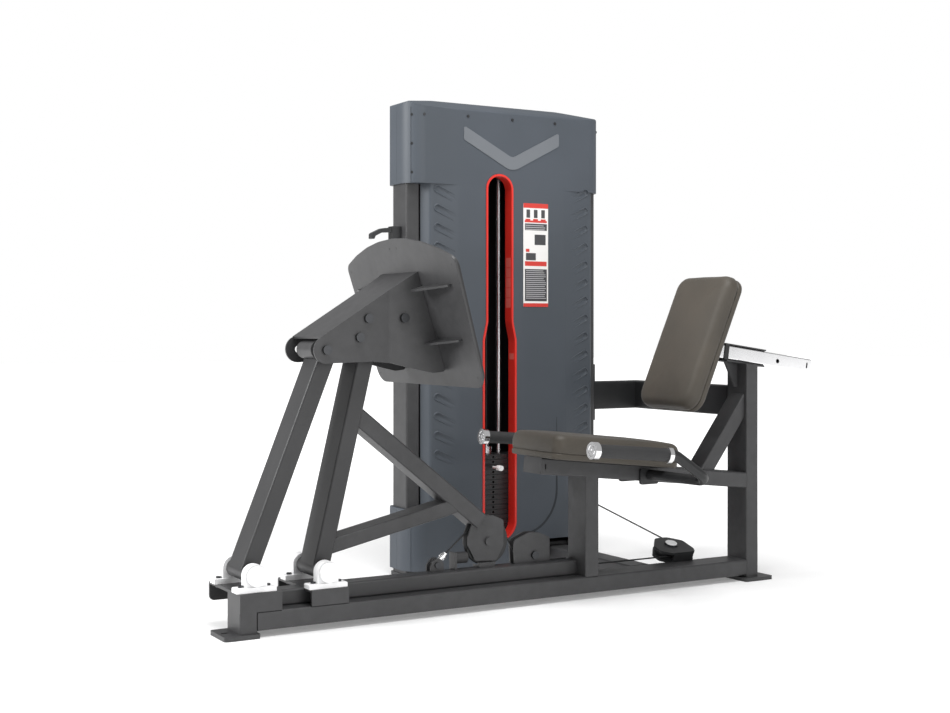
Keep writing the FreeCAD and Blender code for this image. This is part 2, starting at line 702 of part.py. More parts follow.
def carrier():
    near, flare = CARRIER_HALF - 1, CARRIER_FLARE + 5
    plan = [(200, LINK_PLANE - near), (FLARE_START_X, LINK_PLANE - near),
            (640, LINK_PLANE - flare), (640, LINK_PLANE + flare),
            (FLARE_START_X, LINK_PLANE + near), (200, LINK_PLANE + near)]
    roof = plate([(238.6, 805), (plate_back_x(989.4) - 1, 989.4), (plate_back_x(982.5) - 1, 982.5),
                  (242, 799)], "xz", -100, 220)
    roof = roof.common(plate(plan, "xy", 700, 1020))
    body = fused([carrier_wall(-1), carrier_wall(1), roof])
    for x, z in (CARRIER_FRONT, CARRIER_REAR) + CARRIER_BOLTS:
        body = body.cut(rod_y(x, z, -100, 220, PIN_R))
    save("carrier", body)


def carrier_bolts():
    """Through bolts of the carrier with their spacers, and the short pin of the front link."""
    y0, y1 = LINK_PLANE - CARRIER_HALF, LINK_PLANE + CARRIER_HALF
    shank = PIN_R - RUNNING_GAP
    shapes = []
    for x, z in (CARRIER_REAR,) + CARRIER_BOLTS:
        flare = max(0.0, x + 13 - FLARE_START_X) * FLARE_SLOPE
        shapes.append(hex_bolt(V(x, y0 - flare, z), V(x, y1 + flare, z), shank, 13, 9))
    x, z = CARRIER_FRONT
    head = rod_y(x, z, y0 - 9, y0, 13)
    shapes.append(fused([head, rod_y(x, z, y0, LINK_PLANE + LINK_HALF, shank)]))
    save("carrier_bolts", shapes)
    spacers = []
    for x, z in CARRIER_BOLTS:
        spacers.append(rod_y(x, z, y0 + SIDE_WALL, y1 - SIDE_WALL, 13, PIN_R))
    save("carrier_bolts", spacers)


def in_plate_frame(shape):
    """Move a shape modelled flat on the XY plane onto the foot plate's back surface."""
    up = V(-PLATE_LEAN, 0, 1).normalize()
    outward = V(1, 0, PLATE_LEAN).normalize()
    matrix = FreeCAD.Matrix(0, up.x, outward.x, PLATE_X, 1, up.y, outward.y, LINK_PLANE,
                            0, up.z, outward.z, PLATE_Z, 0, 0, 0, 1)
    return shape.transformGeometry(matrix)


FOOT_SHEET = 6.0
TREAD_THICK = 10.0
ARCH_STEPS = 9


def foot_plate_outline(inset):
    """Outline across the plate: straight flared sides, round lower corners and an arched top."""
    top_half, bottom_half = 340 - inset, 320 - inset
    corner_high, peak_high, low = 178 - inset, 248 - inset, -196 + inset
    points = [(-bottom_half, low), (bottom_half, low)]
    for i in range(ARCH_STEPS):
        across = 1 - 2 * i / (ARCH_STEPS - 1)
        points.append((top_half * across, peak_high - (peak_high - corner_high) * across ** 2))
    radii = [40, 40, 30] + [250] * (ARCH_STEPS - 2) + [30]
    return points, radii


def foot_plate():
    points, radii = foot_plate_outline(0)
    sheet = plate(points, "xy", 0, FOOT_SHEET, radii)
    holes = []
    for across, along in ((318, 158), (300, -166)):
        for side in (-1, 1):
            holes.append((side * across, along))
    holes += [(-22, 219), (22, 219)]
    for a, b in holes:
        sheet = sheet.cut(rod(V(a, b, -1), V(a, b, FOOT_SHEET + 1), 3))
    save("foot_plate", in_plate_frame(sheet))
    screws = [rod(V(a, b, 0.5), V(a, b, FOOT_SHEET), 2.9) for a, b in holes]
    save("foot_plate", [in_plate_frame(screw) for screw in screws])
    points, radii = foot_plate_outline(8)
    tread = plate(points, "xy", FOOT_SHEET, FOOT_SHEET + TREAD_THICK, radii)
    save("foot_tread", in_plate_frame(tread))


def foot_plate_ribs():
    """Flat ribs on the plate's back, from the carrier walls out towards the plate's edges."""
    shapes = []
    for along, reach in ((102.0, 287.0), (-56.0, 267.0)):
        for side in (-1, 1):
            inner = CARRIER_FLARE + 8
            points = [(side * inner, -46), (side * (inner + 30), -46), (side * reach, -12),
                      (side * reach, 0), (side * inner, 0)]
            rib = plate(points, "xz", along - 3, along + 3)
            shapes.append(in_plate_frame(rib))
    save("foot_plate", shapes)


# ---------------------------------------------------------------- seat and backrest
BOARD_THICK = 12.0
SEAT_SIZE = (467.0, 75.0)
SEAT_CORNER = V(948, 0, 442)
BACK_SIZE = (455.0, 65.0)
BACK_CORNER = V(1493, 0, 562)
BACK_ANGLE = 90 - BACK_TILT


def pad_and_board(name, corner, size, angle, radius):
    """Cushion with its board, modelled level from its lower corner and then tilted."""
    length, thick = size
    foam = plate(rectangle(0, length, -PAD_HALF, PAD_HALF), "xy", BOARD_THICK, thick, radius)
    board = plate(rectangle(6, length - 6, -PAD_HALF + 6, PAD_HALF - 6), "xy", 0, BOARD_THICK,
                  radius - 6)
    for shape, suffix in ((foam, "_pad"), (board, "_board")):
        shape.translate(corner)
        save(name + suffix, turned(shape, corner, angle))


def seat_pad():
    pad_and_board("seat", SEAT_CORNER, SEAT_SIZE, SEAT_TILT, 32)


def back_pad():
    pad_and_board("back", BACK_CORNER, BACK_SIZE, BACK_ANGLE, 45)


def back_bracket():
    """Steel plate behind the back board with two cheeks that hold the slide tube."""
    sheet = box(130, 330, -60, 52, -6, 0)
    cheeks = [plate([(180, -6), (290, -6), (260, -52), (232, -52)], "xz", y, y + 5)
              for y in (SLIDE_Y - SLIDE_SIZE / 2 - 5.5, SLIDE_Y + SLIDE_SIZE / 2 + 0.5)]
    whole = fused([sheet] + cheeks)
    whole.translate(BACK_CORNER)
    save("back_bracket", turned(whole, BACK_CORNER, BACK_ANGLE))


SLIDE_START_X = 1596.0
SLIDE_END_X = 2063.0
BACK_TRAVEL = 150.0


def slide_tube():
    """Chrome tube with a groove for the clamp pin, a stop hole and an end slot."""
    z = SLEEVE_TOP.z - SLIDE_DROP
    bar = tube(V(SLIDE_START_X, SLIDE_Y, z), V(SLIDE_END_X, SLIDE_Y, z), V(0, 0, 1),
               SLIDE_SIZE, SLIDE_SIZE, WALL, 4)
    groove = plate(rectangle(PIN_X - 6, PIN_X + BACK_TRAVEL + 6, z - 5, z + 5), "xz",
                   SLIDE_Y + 5, SLIDE_Y + SLIDE_SIZE, 4.9)
    stop_hole = rod_y(1915, z - 2, SLIDE_Y - SLIDE_SIZE, SLIDE_Y, 7.5)
    end_slot = plate(rectangle(2044, 2050, z - 10, z + 10), "xz", SLIDE_Y - SLIDE_SIZE, SLIDE_Y, 2.9)
    bar = slide_frame(bar.cut(groove).cut(stop_hole).cut(end_slot))
    shadow = box(0, 600, -200, 200, -6, 400)
    shadow.translate(BACK_CORNER)
    save("slide_tube", bar.cut(turned(shadow, BACK_CORNER, BACK_ANGLE)))
    half = SLIDE_SIZE / 2 - 1
    cap = box(SLIDE_END_X, SLIDE_END_X + 4, SLIDE_Y - half, SLIDE_Y + half, z - half, z + half)
    save("slide_tube", slide_frame(cap))


def clamp_pin():
    """Pull knob whose pin sits in the slide tube's groove."""
    z = SLEEVE_TOP.z - SLIDE_DROP
    y = SLEEVE_HALF_Y[1]
    pin = rod(V(PIN_X, SLIDE_Y + SLIDE_SIZE / 2 - 2.5, z), V(PIN_X, y + 26, z), 4)
    knob = rod(V(PIN_X, y + 20, z), V(PIN_X, y + 46, z), 15)
    save("clamp_pin", slide_frame(fused([pin, knob])))


def handle_path(side):
    y = side * HANDLE_SIDE
    return [V(958, y, 480.7), V(1256, y, 453.8), V(1384, y, 370), V(1352, side * 58, 370)]


def handles():
    tubes, grips, collars, plates = [], [], [], []
    for side in (-1, 1):
        path = handle_path(side)
        along = (path[1] - path[0]).normalize()
        tubes.append(pipe(path, HANDLE_R, 42, HANDLE_R - WALL))
        start = path[0]
        grips.append(rod(start + along * 14, start + along * 262, HANDLE_R + 3.5, HANDLE_R))
        collars.append(rod(start + along * 262, start + along * 277, 25, HANDLE_R))
        cap = rod(start - along * 4, start, 25)
        cap = cap.cut(rod(start - along * 5, start - along * 2, 17, 12))
        cap = cap.cut(rod(start - along * 5, start - along * 1.5, 4.5))
        collars.append(fused([cap, rod(start, start + along * 14, 25, HANDLE_R)]))
        y0, y1 = sorted((side * RAIL_HALF, side * (RAIL_HALF + 8)))
        plates.append(plate(rectangle(1315, 1385, 340, 390), "xz", y0, y1, 8))
    save("handle_tubes", tubes)
    save("handle_grips", grips)
    save("handle_collars", collars)
    save("handle_tubes", plates)


# ---------------------------------------------------------------- tower
SHELL_FRONT = 510.0
SHELL_BACK = 674.0
SHELL_WALL = 4.0
SHELL_WIDE = (798.0, 1578.0)
SHELL_BOTTOM = 25.0
SKIRT_TOP = 230.0
CAP_BOTTOM = 1310.0
CAP_FRONT_Z = 1567.0
CAP_TOP = 1594.0
CAP_CORNERS = (1580.0, 1568.0)
CAP_PEAK = 1622.0
SHELL_SWEEP = 10.0
PANEL_X = (985.0, 1410.0)
SEAM_X = 816.0
SLOT_TOP = 1354.0
SLOT_BOTTOM = 105.0
SLOT_HALF = (53.6, 66.8)
SLOT_JOG = (850.0, 789.0)
TRIM_RIM = 7.0
TRIM_DEPTH = 43.0


def tower_columns():
    shapes = []
    for left, right in COLUMNS:
        centre = (left + right) / 2
        shapes.append(tube(V(centre, TOWER_Y, FOOT_THICK), V(centre, TOWER_Y, 1540), V(1, 0, 0),
                           2 * COLUMN_HALF, right - left))
    save("tower_columns", shapes)
    feet = [plate(rectangle(left - 4, right + 4, TOWER_Y - 58, TOWER_Y + 58), "xy", 0, FOOT_THICK, 6)
            for left, right in COLUMNS]
    save("floor_feet", feet)


def tower_cross_tubes():
    """Base and head tubes between the columns; the head has holes for the rods and the cable."""
    x0, x1 = COLUMNS[0][1], COLUMNS[1][0]
    base = tube(V(x0, TOWER_Y, 55), V(x1, TOWER_Y, 55), V(0, 0, 1), 100, 50)
    middle = (HEAD_BOTTOM + HEAD_TOP) / 2
    head = tube(V(x0, TOWER_Y, middle), V(x1, TOWER_Y, middle), V(0, 0, 1), 50,
                HEAD_TOP - HEAD_BOTTOM)
    for x in (STACK_X, HEAD_RIGHT_X + HEAD_GROOVE_R + CABLE_R):
        head = head.cut(rod(V(x, TOWER_Y, HEAD_BOTTOM - 1), V(x, TOWER_Y, HEAD_TOP + 1), 9))
    save("cross_tubes", base)
    save("cross_tubes", head)


HEAD_PULLEY_R = 50.0
HEAD_GROOVE_R = 43.5
HEAD_PULLEY_Z = 1500.0
HEAD_LEFT_X = STACK_X + HEAD_GROOVE_R + CABLE_R
LOWER_PULLEY_R = 36.0
LOWER_GROOVE_R = 29.5
TOWER_CABLE_X = 1468.0
TOWER_CABLE_Z = 261.0
SWIVEL_CORNER_X = 1604.0
HEAD_RIGHT_X = TOWER_CABLE_X - HEAD_GROOVE_R - CABLE_R


def cable_corners():
    """Corners of the fixed cable run; each corner is rounded by one pulley."""
    low = BASE_PULLEY[1] - BASE_GROOVE_R - CABLE_R
    top = HEAD_PULLEY_Z + HEAD_GROOVE_R + CABLE_R
    _, leave = lift_run()
    heading = (leave - lift_run()[0]).normalize()
    first = leave + heading * ((low - leave.z) / heading.z)
    return [leave - heading * 4, first, V(SWIVEL_CORNER_X, CABLE_PLANE, low),
            V(TOWER_CABLE_X, TOWER_Y, TOWER_CABLE_Z), V(TOWER_CABLE_X, TOWER_Y, top),
            V(STACK_X, TOWER_Y, top), V(STACK_X, TOWER_Y, HEAD_PULLEY_Z)]


def lift_run():
    """Crossed tangent from the arm pulley's right side to the base pulley's left side."""
    first, second = ARM_GROOVE_R + CABLE_R, BASE_GROOVE_R + CABLE_R
    dx, dz = BASE_PULLEY[0] - ARM_PULLEY[0], BASE_PULLEY[1] - ARM_PULLEY[1]
    angle = math.atan2(dz, dx) - math.asin((first + second) / math.hypot(dx, dz))
    out = V(-math.sin(angle), 0, math.cos(angle))
    start = V(ARM_PULLEY[0], CABLE_PLANE, ARM_PULLEY[1]) + out * first
    end = V(BASE_PULLEY[0], CABLE_PLANE, BASE_PULLEY[1]) - out * second
    return start, end


def pulley_in_corner(corner, radius):
    """Centre and axis of the pulley that rounds one corner of the cable run."""
    points = cable_corners()
    back = (points[corner - 1] - points[corner]).normalize()
    ahead = (points[corner + 1] - points[corner]).normalize()
    half = back.getAngle(ahead) / 2
    centre = points[corner] + (back + ahead).normalize() * (radius / math.sin(half))
    return centre, ahead.cross(back).normalize()


def cables():
    """The fixed run over five pulleys, the wrap on the arm pulley, and the runs that change."""
    reach = [0, BASE_GROOVE_R + CABLE_R, HEAD_GROOVE_R + CABLE_R, LOWER_GROOVE_R + CABLE_R,
             HEAD_GROOVE_R + CABLE_R, HEAD_GROOVE_R + CABLE_R, 0]
    save("main_cable", pipe(cable_corners(), CABLE_R, reach))
    start, end = lift_run()
    heading = (end - start).normalize()
    rise = (cable_point(1) - cable_point(0)).normalize()
    tangent = math.sqrt(ANCHOR_REACH ** 2 - (ARM_GROOVE_R + CABLE_R) ** 2)
    turn = math.acos(rise.dot(heading))
    corner = cable_point(tangent + (ARM_GROOVE_R + CABLE_R) * math.tan(turn / 2))
    wrap = [cable_point(tangent - 4), corner, start + heading * 4]
    save("arm_cable_wrap", pipe(wrap, CABLE_R, ARM_GROOVE_R + CABLE_R))
    save("arm_cable", rod(cable_point(46), cable_point(tangent - 4), CABLE_R))
    save("arm_cable", rod(start + heading * 4, end - heading * 4, CABLE_R))
    save("stack_cable", rod(V(STACK_X, TOWER_Y, HEAD_PULLEY_Z), V(STACK_X, TOWER_Y, STACK_TOP + 70),
                            CABLE_R))


def swivel_pulley():
    """Tilted pulley at the rail's seat end, under a folded bracket open towards the tower."""
    centre, axis = pulley_in_corner(2, HEAD_GROOVE_R + CABLE_R)
    if axis.z < 0:
        axis = axis * -1
    save("swivel_pulley", grooved_wheel(centre, axis, HEAD_PULLEY_R, HEAD_GROOVE_R, PULLEY_WIDTH,
                                        PULLEY_BOLT_R))
    side = V(1, 0, 0)
    away = axis.cross(side).normalize()
    matrix = FreeCAD.Matrix(side.x, away.x, axis.x, centre.x, side.y, away.y, axis.y, centre.y,
                            side.z, away.z, axis.z, centre.z, 0, 0, 0, 1)
    leaf = [(-70, -40), (-38, -62), (52, -62), (62, -40), (62, 20), (20, 52), (-30, 52), (-70, 0)]
    upper = plate(leaf, "xy", SIDE_GAP, SIDE_GAP + 8, [16, 10, 10, 10, 20, 30, 30, 30])
    lower = plate(leaf, "xy", -SIDE_GAP - 8, -SIDE_GAP, [16, 10, 10, 10, 20, 30, 30, 30])
    web = box(-30, 48, -62, -54, -90, SIDE_GAP + 8)
    window = box(-200, -30, -80, -30, -8, 8)
    folded = fused([upper, lower, web]).cut(window)
    folded = folded.cut(rod(V(0, 0, -60), V(0, 0, 60), PULLEY_BOLT_R))
    folded = folded.transformGeometry(matrix)
    folded = folded.cut(box(1300, 1800, -200, 300, -100, RAIL_TOP))
    save("swivel_bracket", largest(folded))
    bolt = fused([rod(V(0, 0, -SIDE_GAP - 8), V(0, 0, SIDE_GAP + 8), PULLEY_BOLT_R - RUNNING_GAP),
                  rod(V(0, 0, SIDE_GAP + 8), V(0, 0, SIDE_GAP + 12), 22),
                  rod(V(0, 0, -SIDE_GAP - 15), V(0, 0, -SIDE_GAP - 8), 12)])
    save("pulley_bolts", bolt.transformGeometry(matrix))


def head_pulleys():
    """Two pulleys over the head tube, between one pair of side plates."""
    for name, x in (("head_pulley_left", HEAD_LEFT_X), ("head_pulley_right", HEAD_RIGHT_X)):
        save(name, grooved_wheel(V(x, TOWER_Y, HEAD_PULLEY_Z), V(0, 1, 0), HEAD_PULLEY_R,
                                 HEAD_GROOVE_R, PULLEY_WIDTH, PULLEY_BOLT_R))
    outline = rectangle(HEAD_LEFT_X - 40, HEAD_RIGHT_X + 40, HEAD_TOP, HEAD_PULLEY_Z + 25)
    shapes = side_plates(outline, TOWER_Y, [0, 0, 20, 20])
    bolts = []
    for x in (HEAD_LEFT_X, HEAD_RIGHT_X):
        hole = rod_y(x, HEAD_PULLEY_Z, 500, 700, PULLEY_BOLT_R)
        shapes = [shape.cut(hole) for shape in shapes]
        bolts.append(hex_bolt(V(x, TOWER_Y - 16, HEAD_PULLEY_Z), V(x, TOWER_Y + 16, HEAD_PULLEY_Z),
                              PULLEY_BOLT_R - RUNNING_GAP, 12, 7))
    save("tower_pulley_brackets", shapes)
    save("pulley_bolts", bolts)


def lower_tower_pulley():
    """Pulley behind the shroud that turns the cable upward, in a fork off the right column."""
    centre, axis = pulley_in_corner(3, LOWER_GROOVE_R + CABLE_R)
    if axis.x < 0:
        axis = axis * -1
    wheel = grooved_wheel(centre, axis, LOWER_PULLEY_R, LOWER_GROOVE_R, PULLEY_WIDTH, PULLEY_BOLT_R)
    save("lower_tower_pulley", wheel)
    bolt = hex_bolt(centre - axis * 16, centre + axis * 16, PULLEY_BOLT_R - RUNNING_GAP, 12, 7)
    ahead = V(-axis.y, axis.x, 0)
    cheeks = []
    for near, far in ((-16, -10), (10, 16)):
        base = centre + axis * near - ahead * 22 - V(0, 0, 14)
        corners = [base, base + ahead * 62, base + ahead * 62 + V(0, 0, 90), base + V(0, 0, 90)]
        cheeks.append(outline_face(corners, [12, 0, 0, 12]).extrude(axis * (far - near)))
    bridge = box(1440, COLUMNS[1][0], 562, 606, 338, 362)
    cable_way = rod(V(TOWER_CABLE_X, TOWER_Y, 300), V(TOWER_CABLE_X, TOWER_Y, 400), 8)
    hole = rod(centre - axis * 60, centre + axis * 60, PULLEY_BOLT_R)
    fork = fused(cheeks + [bridge]).cut(hole).cut(cable_way)
    save("tower_pulley_brackets", fork)
    save("pulley_bolts", bolt)


def guide_rods():
    shapes = [rod(V(STACK_X + side * GUIDE_OFFSET, TOWER_Y, BASE_TOP),
                  V(STACK_X + side * GUIDE_OFFSET, TOWER_Y, HEAD_BOTTOM), GUIDE_R)
              for side in (-1, 1)]
    save("guide_rods", shapes)
    cushions = [rod(V(STACK_X + side * GUIDE_OFFSET, TOWER_Y, BASE_TOP),
                    V(STACK_X + side * GUIDE_OFFSET, TOWER_Y, STACK_BOTTOM), 19, GUIDE_R)
                for side in (-1, 1)]
    save("rubber_buffers", cushions)


STACK_BOTTOM = STACK_TOP - PLATE_COUNT * PLATE_PITCH
STACK_HALF = (120.0, 48.0)
SELECTOR_R = 12.0
SELECTOR_PIN_R = 4.0


def stack_plate(index):
    """Weight plate number index, counted from the top, with its rod holes and pin hole."""
    top = STACK_TOP - index * PLATE_PITCH
    bottom = top - PLATE_PITCH + 1.2
    half_x, half_y = STACK_HALF
    block = plate(rectangle(STACK_X - half_x, STACK_X + half_x, TOWER_Y - half_y, TOWER_Y + half_y),
                  "xy", bottom, top, 6)
    pad = [rod(V(STACK_X + side * 90, TOWER_Y, bottom - 1.2), V(STACK_X + side * 90, TOWER_Y, bottom), 8)
           for side in (-1, 1)]
    if index < PLATE_COUNT - 1:
        block = fused([block] + pad)
    for side in (-1, 1):
        x = STACK_X + side * GUIDE_OFFSET
        block = block.cut(rod(V(x, TOWER_Y, bottom - 2), V(x, TOWER_Y, top + 2), GUIDE_R + PLAY))
    block = block.cut(rod(V(STACK_X, TOWER_Y, bottom - 2), V(STACK_X, TOWER_Y, top + 2),
                          SELECTOR_R + PLAY))
    middle = (top + bottom) / 2
    return block.cut(rod(V(STACK_X, TOWER_Y - 60, middle), V(STACK_X, TOWER_Y + 30, middle),
                         SELECTOR_PIN_R + RUNNING_GAP))


def weight_stack():
    plates = [stack_plate(index) for index in range(PLATE_COUNT)]
    save("lifted_plates", plates[:LIFTED_PLATES])
    save("resting_plates", plates[LIFTED_PLATES:])
    selector = rod(V(STACK_X, TOWER_Y, STACK_BOTTOM + 4), V(STACK_X, TOWER_Y, STACK_TOP), SELECTOR_R)
    head = rod(V(STACK_X, TOWER_Y, STACK_TOP), V(STACK_X, TOWER_Y, STACK_TOP + 26), 20)
    eye = rod(V(STACK_X, TOWER_Y, STACK_TOP + 26), V(STACK_X, TOWER_Y, STACK_TOP + 70), 9)
    selector = fused([selector, head, eye])
    for index in range(PLATE_COUNT):
        z = pin_height(index)
        if z > STACK_BOTTOM + 8:
            selector = selector.cut(rod(V(STACK_X, TOWER_Y - 30, z), V(STACK_X, TOWER_Y + 30, z),
                                        SELECTOR_PIN_R + RUNNING_GAP))
    save("selector_rod", selector)
    z = pin_height(LIFTED_PLATES - 1)
    pin = rod(V(STACK_X, 506, z), V(STACK_X, TOWER_Y + 18, z), SELECTOR_PIN_R)
    knob = rod(V(STACK_X, 498, z), V(STACK_X, 522, z), 9)
    save("selector_pin", fused([pin, knob]))


def pin_height(index):
    return STACK_TOP - index * PLATE_PITCH - (PLATE_PITCH - 1.2) / 2


def shell_body(inset):
    """Solid envelope of the tower cover, moved inward by inset: skirt, two trays and cap."""
    front, back = SHELL_FRONT + inset, SHELL_BACK - inset
    left, right = SHELL_WIDE[0] + inset, SHELL_WIDE[1] - inset
    set_back = front + SHELL_SWEEP
    wide = [(left, front + 4), (PANEL_X[0], front), (PANEL_X[1], front), (right, front + 4),
            (right, back), (left, back)]
    radii = [64 - inset, 200, 200, 64 - inset, 30 - inset, 30 - inset]
    skirt = plate(wide, "xy", SHELL_BOTTOM - (inset and 1), SKIRT_TOP - inset, radii)
    cap = plate(wide, "xy", CAP_BOTTOM + inset, CAP_TOP + 20, radii)
    rise = CAP_TOP - inset
    side = [(front, 1200), (back, 1200), (back, rise), (565, rise), (front, CAP_FRONT_Z - inset)]
    cap = cap.common(plate(side, "yz", left - 1, right + 1, [0, 0, 30, 60, 16]))
    arch = [(left, 1200), (right, 1200), (right, CAP_CORNERS[1] - inset), (1188, CAP_PEAK - inset),
            (left, CAP_CORNERS[0] - inset)]
    cap = cap.common(plate(arch, "xz", front - 1, back + 1, [0, 0, 16, 0, 16]))
    near = COLUMNS[0][1] + 2 + inset
    far = COLUMNS[1][0] + 30 - inset
    open_y = TOWER_Y - COLUMN_HALF - 0.5 + (inset and 1)
    tray = [(882 + inset, set_back), (PANEL_X[0], front), (PANEL_X[1], front),
            (1530 - inset, set_back), (far, open_y), (near, open_y)]
    front_tray = plate(tray, "xy", SHELL_BOTTOM + 60, CAP_BOTTOM + 60,
                       [14 - inset, 200, 200, 14 - inset, 0, 0])
    open_back = TOWER_Y + COLUMN_HALF + 0.5 - (inset and 1)
    rear = [(near, open_back), (far, open_back), (1530 - inset, back), (882 + inset, back)]
    rear_tray = plate(rear, "xy", SHELL_BOTTOM + 60, CAP_BOTTOM + 60, [0, 0, 12 - inset, 12 - inset])
    return skirt.fuse([cap, front_tray, rear_tray])


def slot_outline(grow):
    """Keyhole-like outline of the weight window: narrow above the jog, wider below it."""
    narrow, wide = SLOT_HALF[0] + grow, SLOT_HALF[1] + grow
    top, bottom = SLOT_TOP + grow, SLOT_BOTTOM - grow
    high, low = SLOT_JOG
    points = [(STACK_X - wide, bottom), (STACK_X + wide, bottom), (STACK_X + wide, low),
              (STACK_X + narrow, high), (STACK_X + narrow, top), (STACK_X - narrow, top),
              (STACK_X - narrow, high), (STACK_X - wide, low)]
    radii = [wide - 1, wide - 1, 60, 60, narrow - 1, narrow - 1, 60, 60]
    return points, radii


def slot_cutter(grow, y0, y1):
    points, radii = slot_outline(grow)
    return plate(points, "xz", y0, y1, radii)


def slot_trim():
    """Deep red surround of the weight window."""
    front = SHELL_FRONT - 3
    ring = slot_cutter(0, front, front + TRIM_DEPTH).cut(
        slot_cutter(-TRIM_RIM, front - 1, front + TRIM_DEPTH + 1))
    save("slot_trim", ring)


VENT_PITCH = 63.0
VENT_COUNT = 15
VENT_SIDES = ((908.0, 1293.0, 1), (1502.0, 1307.0, -1))
VENT_R = 13.0
VENT_DEEP = 2.8
VENT_REACH = V(62.0, -9.0, -30.0)


def vent_cutters():
    """Finger-shaped louvres: deep at the round outer end, fading out towards the middle."""
    cutters = []
    for outer_x, top_z, way in VENT_SIDES:
        surface = SHELL_FRONT + SHELL_SWEEP * 0.8
        for index in range(VENT_COUNT):
            deep = V(outer_x, surface + VENT_DEEP - VENT_R, top_z - index * VENT_PITCH)
            shallow = deep + V(VENT_REACH.x * way, VENT_REACH.y, VENT_REACH.z)
            cutters.append(rod(deep, shallow, VENT_R))
            cutters.append(Part.makeSphere(VENT_R, deep))
    return cutters


def tower_cover():
    """Front and rear shrouds: one hollow envelope split on the columns' centre plane."""
    shell = shell_body(0).cut(shell_body(SHELL_WALL))
    for left, right in COLUMNS:
        shell = shell.cut(box(left - 0.5, right + 0.5, TOWER_Y - COLUMN_HALF - 0.5,
                              TOWER_Y + COLUMN_HALF + 0.5, 0, 1545))
    inner_left, inner_right = COLUMNS[0][1], COLUMNS[1][0]
    shell = shell.cut(box(inner_left, inner_right, 540, 660, 0, 85))
    shell = shell.cut(box(inner_left + 6, inner_right - 6, TOWER_Y - COLUMN_HALF - 1,
                          TOWER_Y + COLUMN_HALF + 1, SKIRT_TOP - 20, CAP_BOTTOM + 20))
    shell = shell.cut(box(1340, 1446, 400, 560, 0, 98))
    front = shell.common(box(700, 1700, 400, TOWER_Y - 0.4, 0, 1700))
    rear = shell.common(box(700, 1700, TOWER_Y + 0.4, 800, 0, 1700))
    front = front.cut(slot_cutter(0.3, SHELL_FRONT - 20, SHELL_FRONT + 20))
    front = front.cut(vent_cutters())
    seam_y = SHELL_FRONT + 4 + 64 - math.sqrt(64 ** 2 - (SHELL_WIDE[0] + 64 - SEAM_X) ** 2)
    for z0, z1 in ((SHELL_BOTTOM - 5, SKIRT_TOP + 5), (CAP_BOTTOM - 5, CAP_FRONT_Z - 6)):
        front = front.cut(box(SEAM_X - 0.7, SEAM_X + 0.7, 480, seam_y + 1.3, z0, z1))
    front = front.cut(rod(V(1494, 494, 230), V(1485, 530, 241), 9))
    save("front_shroud", largest(front))
    save("rear_shroud", largest(rear))
    screws = [rod_y(x, 1542, SHELL_FRONT - 2, SHELL_FRONT, 5) for x in (1021, 1196, 1370)]
    save("frame_screws", screws)


def largest(shape):
    return max(shape.Solids, key=lambda solid: solid.Volume)


def badge_pieces():
    """Plain chevron panel and a plain instruction panel on the front cover."""
    chevron = [(1004.6, 1510), (1004.6, 1463), (1195.5, 1364), (1386, 1463), (1386, 1510),
               (1195.5, 1412)]
    save("chevron", plate(chevron, "xz", SHELL_FRONT - 2, SHELL_FRONT, [6, 10, 60, 10, 6, 25]))
    save("instruction_panel", plate(rectangle(1240, 1341, 903, 1260), "xz", SHELL_FRONT - 1.5,
                                    SHELL_FRONT, 4))


def column_hook():
    """Accessory hook on the left column's outer face."""
    left = COLUMNS[0][0]
    block = box(left - 34, left, 585, 615, 1124, 1168)
    arm = plate([(left - 34, 1164), (left - 70, 1160), (left - 108, 1142), (left - 108, 1124),
                 (left - 98, 1124), (left - 94, 1134), (left - 70, 1146), (left - 34, 1148)],
                "xz", 588, 612, [0, 30, 8, 3, 3, 6, 24, 0])
    save("column_hook", fused([block, arm]))


def build():
    os.makedirs(OUT, exist_ok=True)
    frame = (end_post, main_rail, upper_rail, pivot_brackets, foot_plates, mid_upright,
             rear_upright, seat_beam, seat_brace, slide_sleeve, sleeve_bushes, cross_arm,
             base_cross_tube)
    linkage = (pillow_blocks, bearing_caps, pillow_bolts, pivot_shafts, front_link, rear_link,
               upper_arm, lower_brace, arm_pulley_fork, arm_pulley, base_pulley, cable_anchor,
               stop_bumper, carrier, carrier_bolts, foot_plate, foot_plate_ribs)
    seating = (seat_pad, back_pad, back_bracket, slide_tube, clamp_pin, handles)
    tower = (tower_columns, tower_cross_tubes, head_pulleys, lower_tower_pulley, swivel_pulley,
             cables, guide_rods, weight_stack, slot_trim, tower_cover, badge_pieces, column_hook)
    for group in (frame, linkage, seating, tower):
        for make in group:
            make()
    write_nodes()


build()
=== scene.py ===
import bmesh
import bpy
import json
import math
import random
from mathutils import Matrix, Vector


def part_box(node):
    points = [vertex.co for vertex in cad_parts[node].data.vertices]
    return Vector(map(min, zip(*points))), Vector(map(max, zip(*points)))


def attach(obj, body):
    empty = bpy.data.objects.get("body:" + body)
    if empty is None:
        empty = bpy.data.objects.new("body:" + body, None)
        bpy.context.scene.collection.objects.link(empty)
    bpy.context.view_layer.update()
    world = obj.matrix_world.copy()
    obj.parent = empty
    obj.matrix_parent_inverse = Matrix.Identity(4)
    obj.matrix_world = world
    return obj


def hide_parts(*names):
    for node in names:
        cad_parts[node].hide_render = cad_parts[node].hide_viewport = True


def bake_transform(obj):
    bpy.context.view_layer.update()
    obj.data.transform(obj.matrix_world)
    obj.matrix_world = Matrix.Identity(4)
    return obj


# Looks of the leg press round its CAD frame: upholstery, cables, small details, materials and
# the studio. Lengths are in metres. Names that hold an angle are in radians, unless they end
# in _DEG.

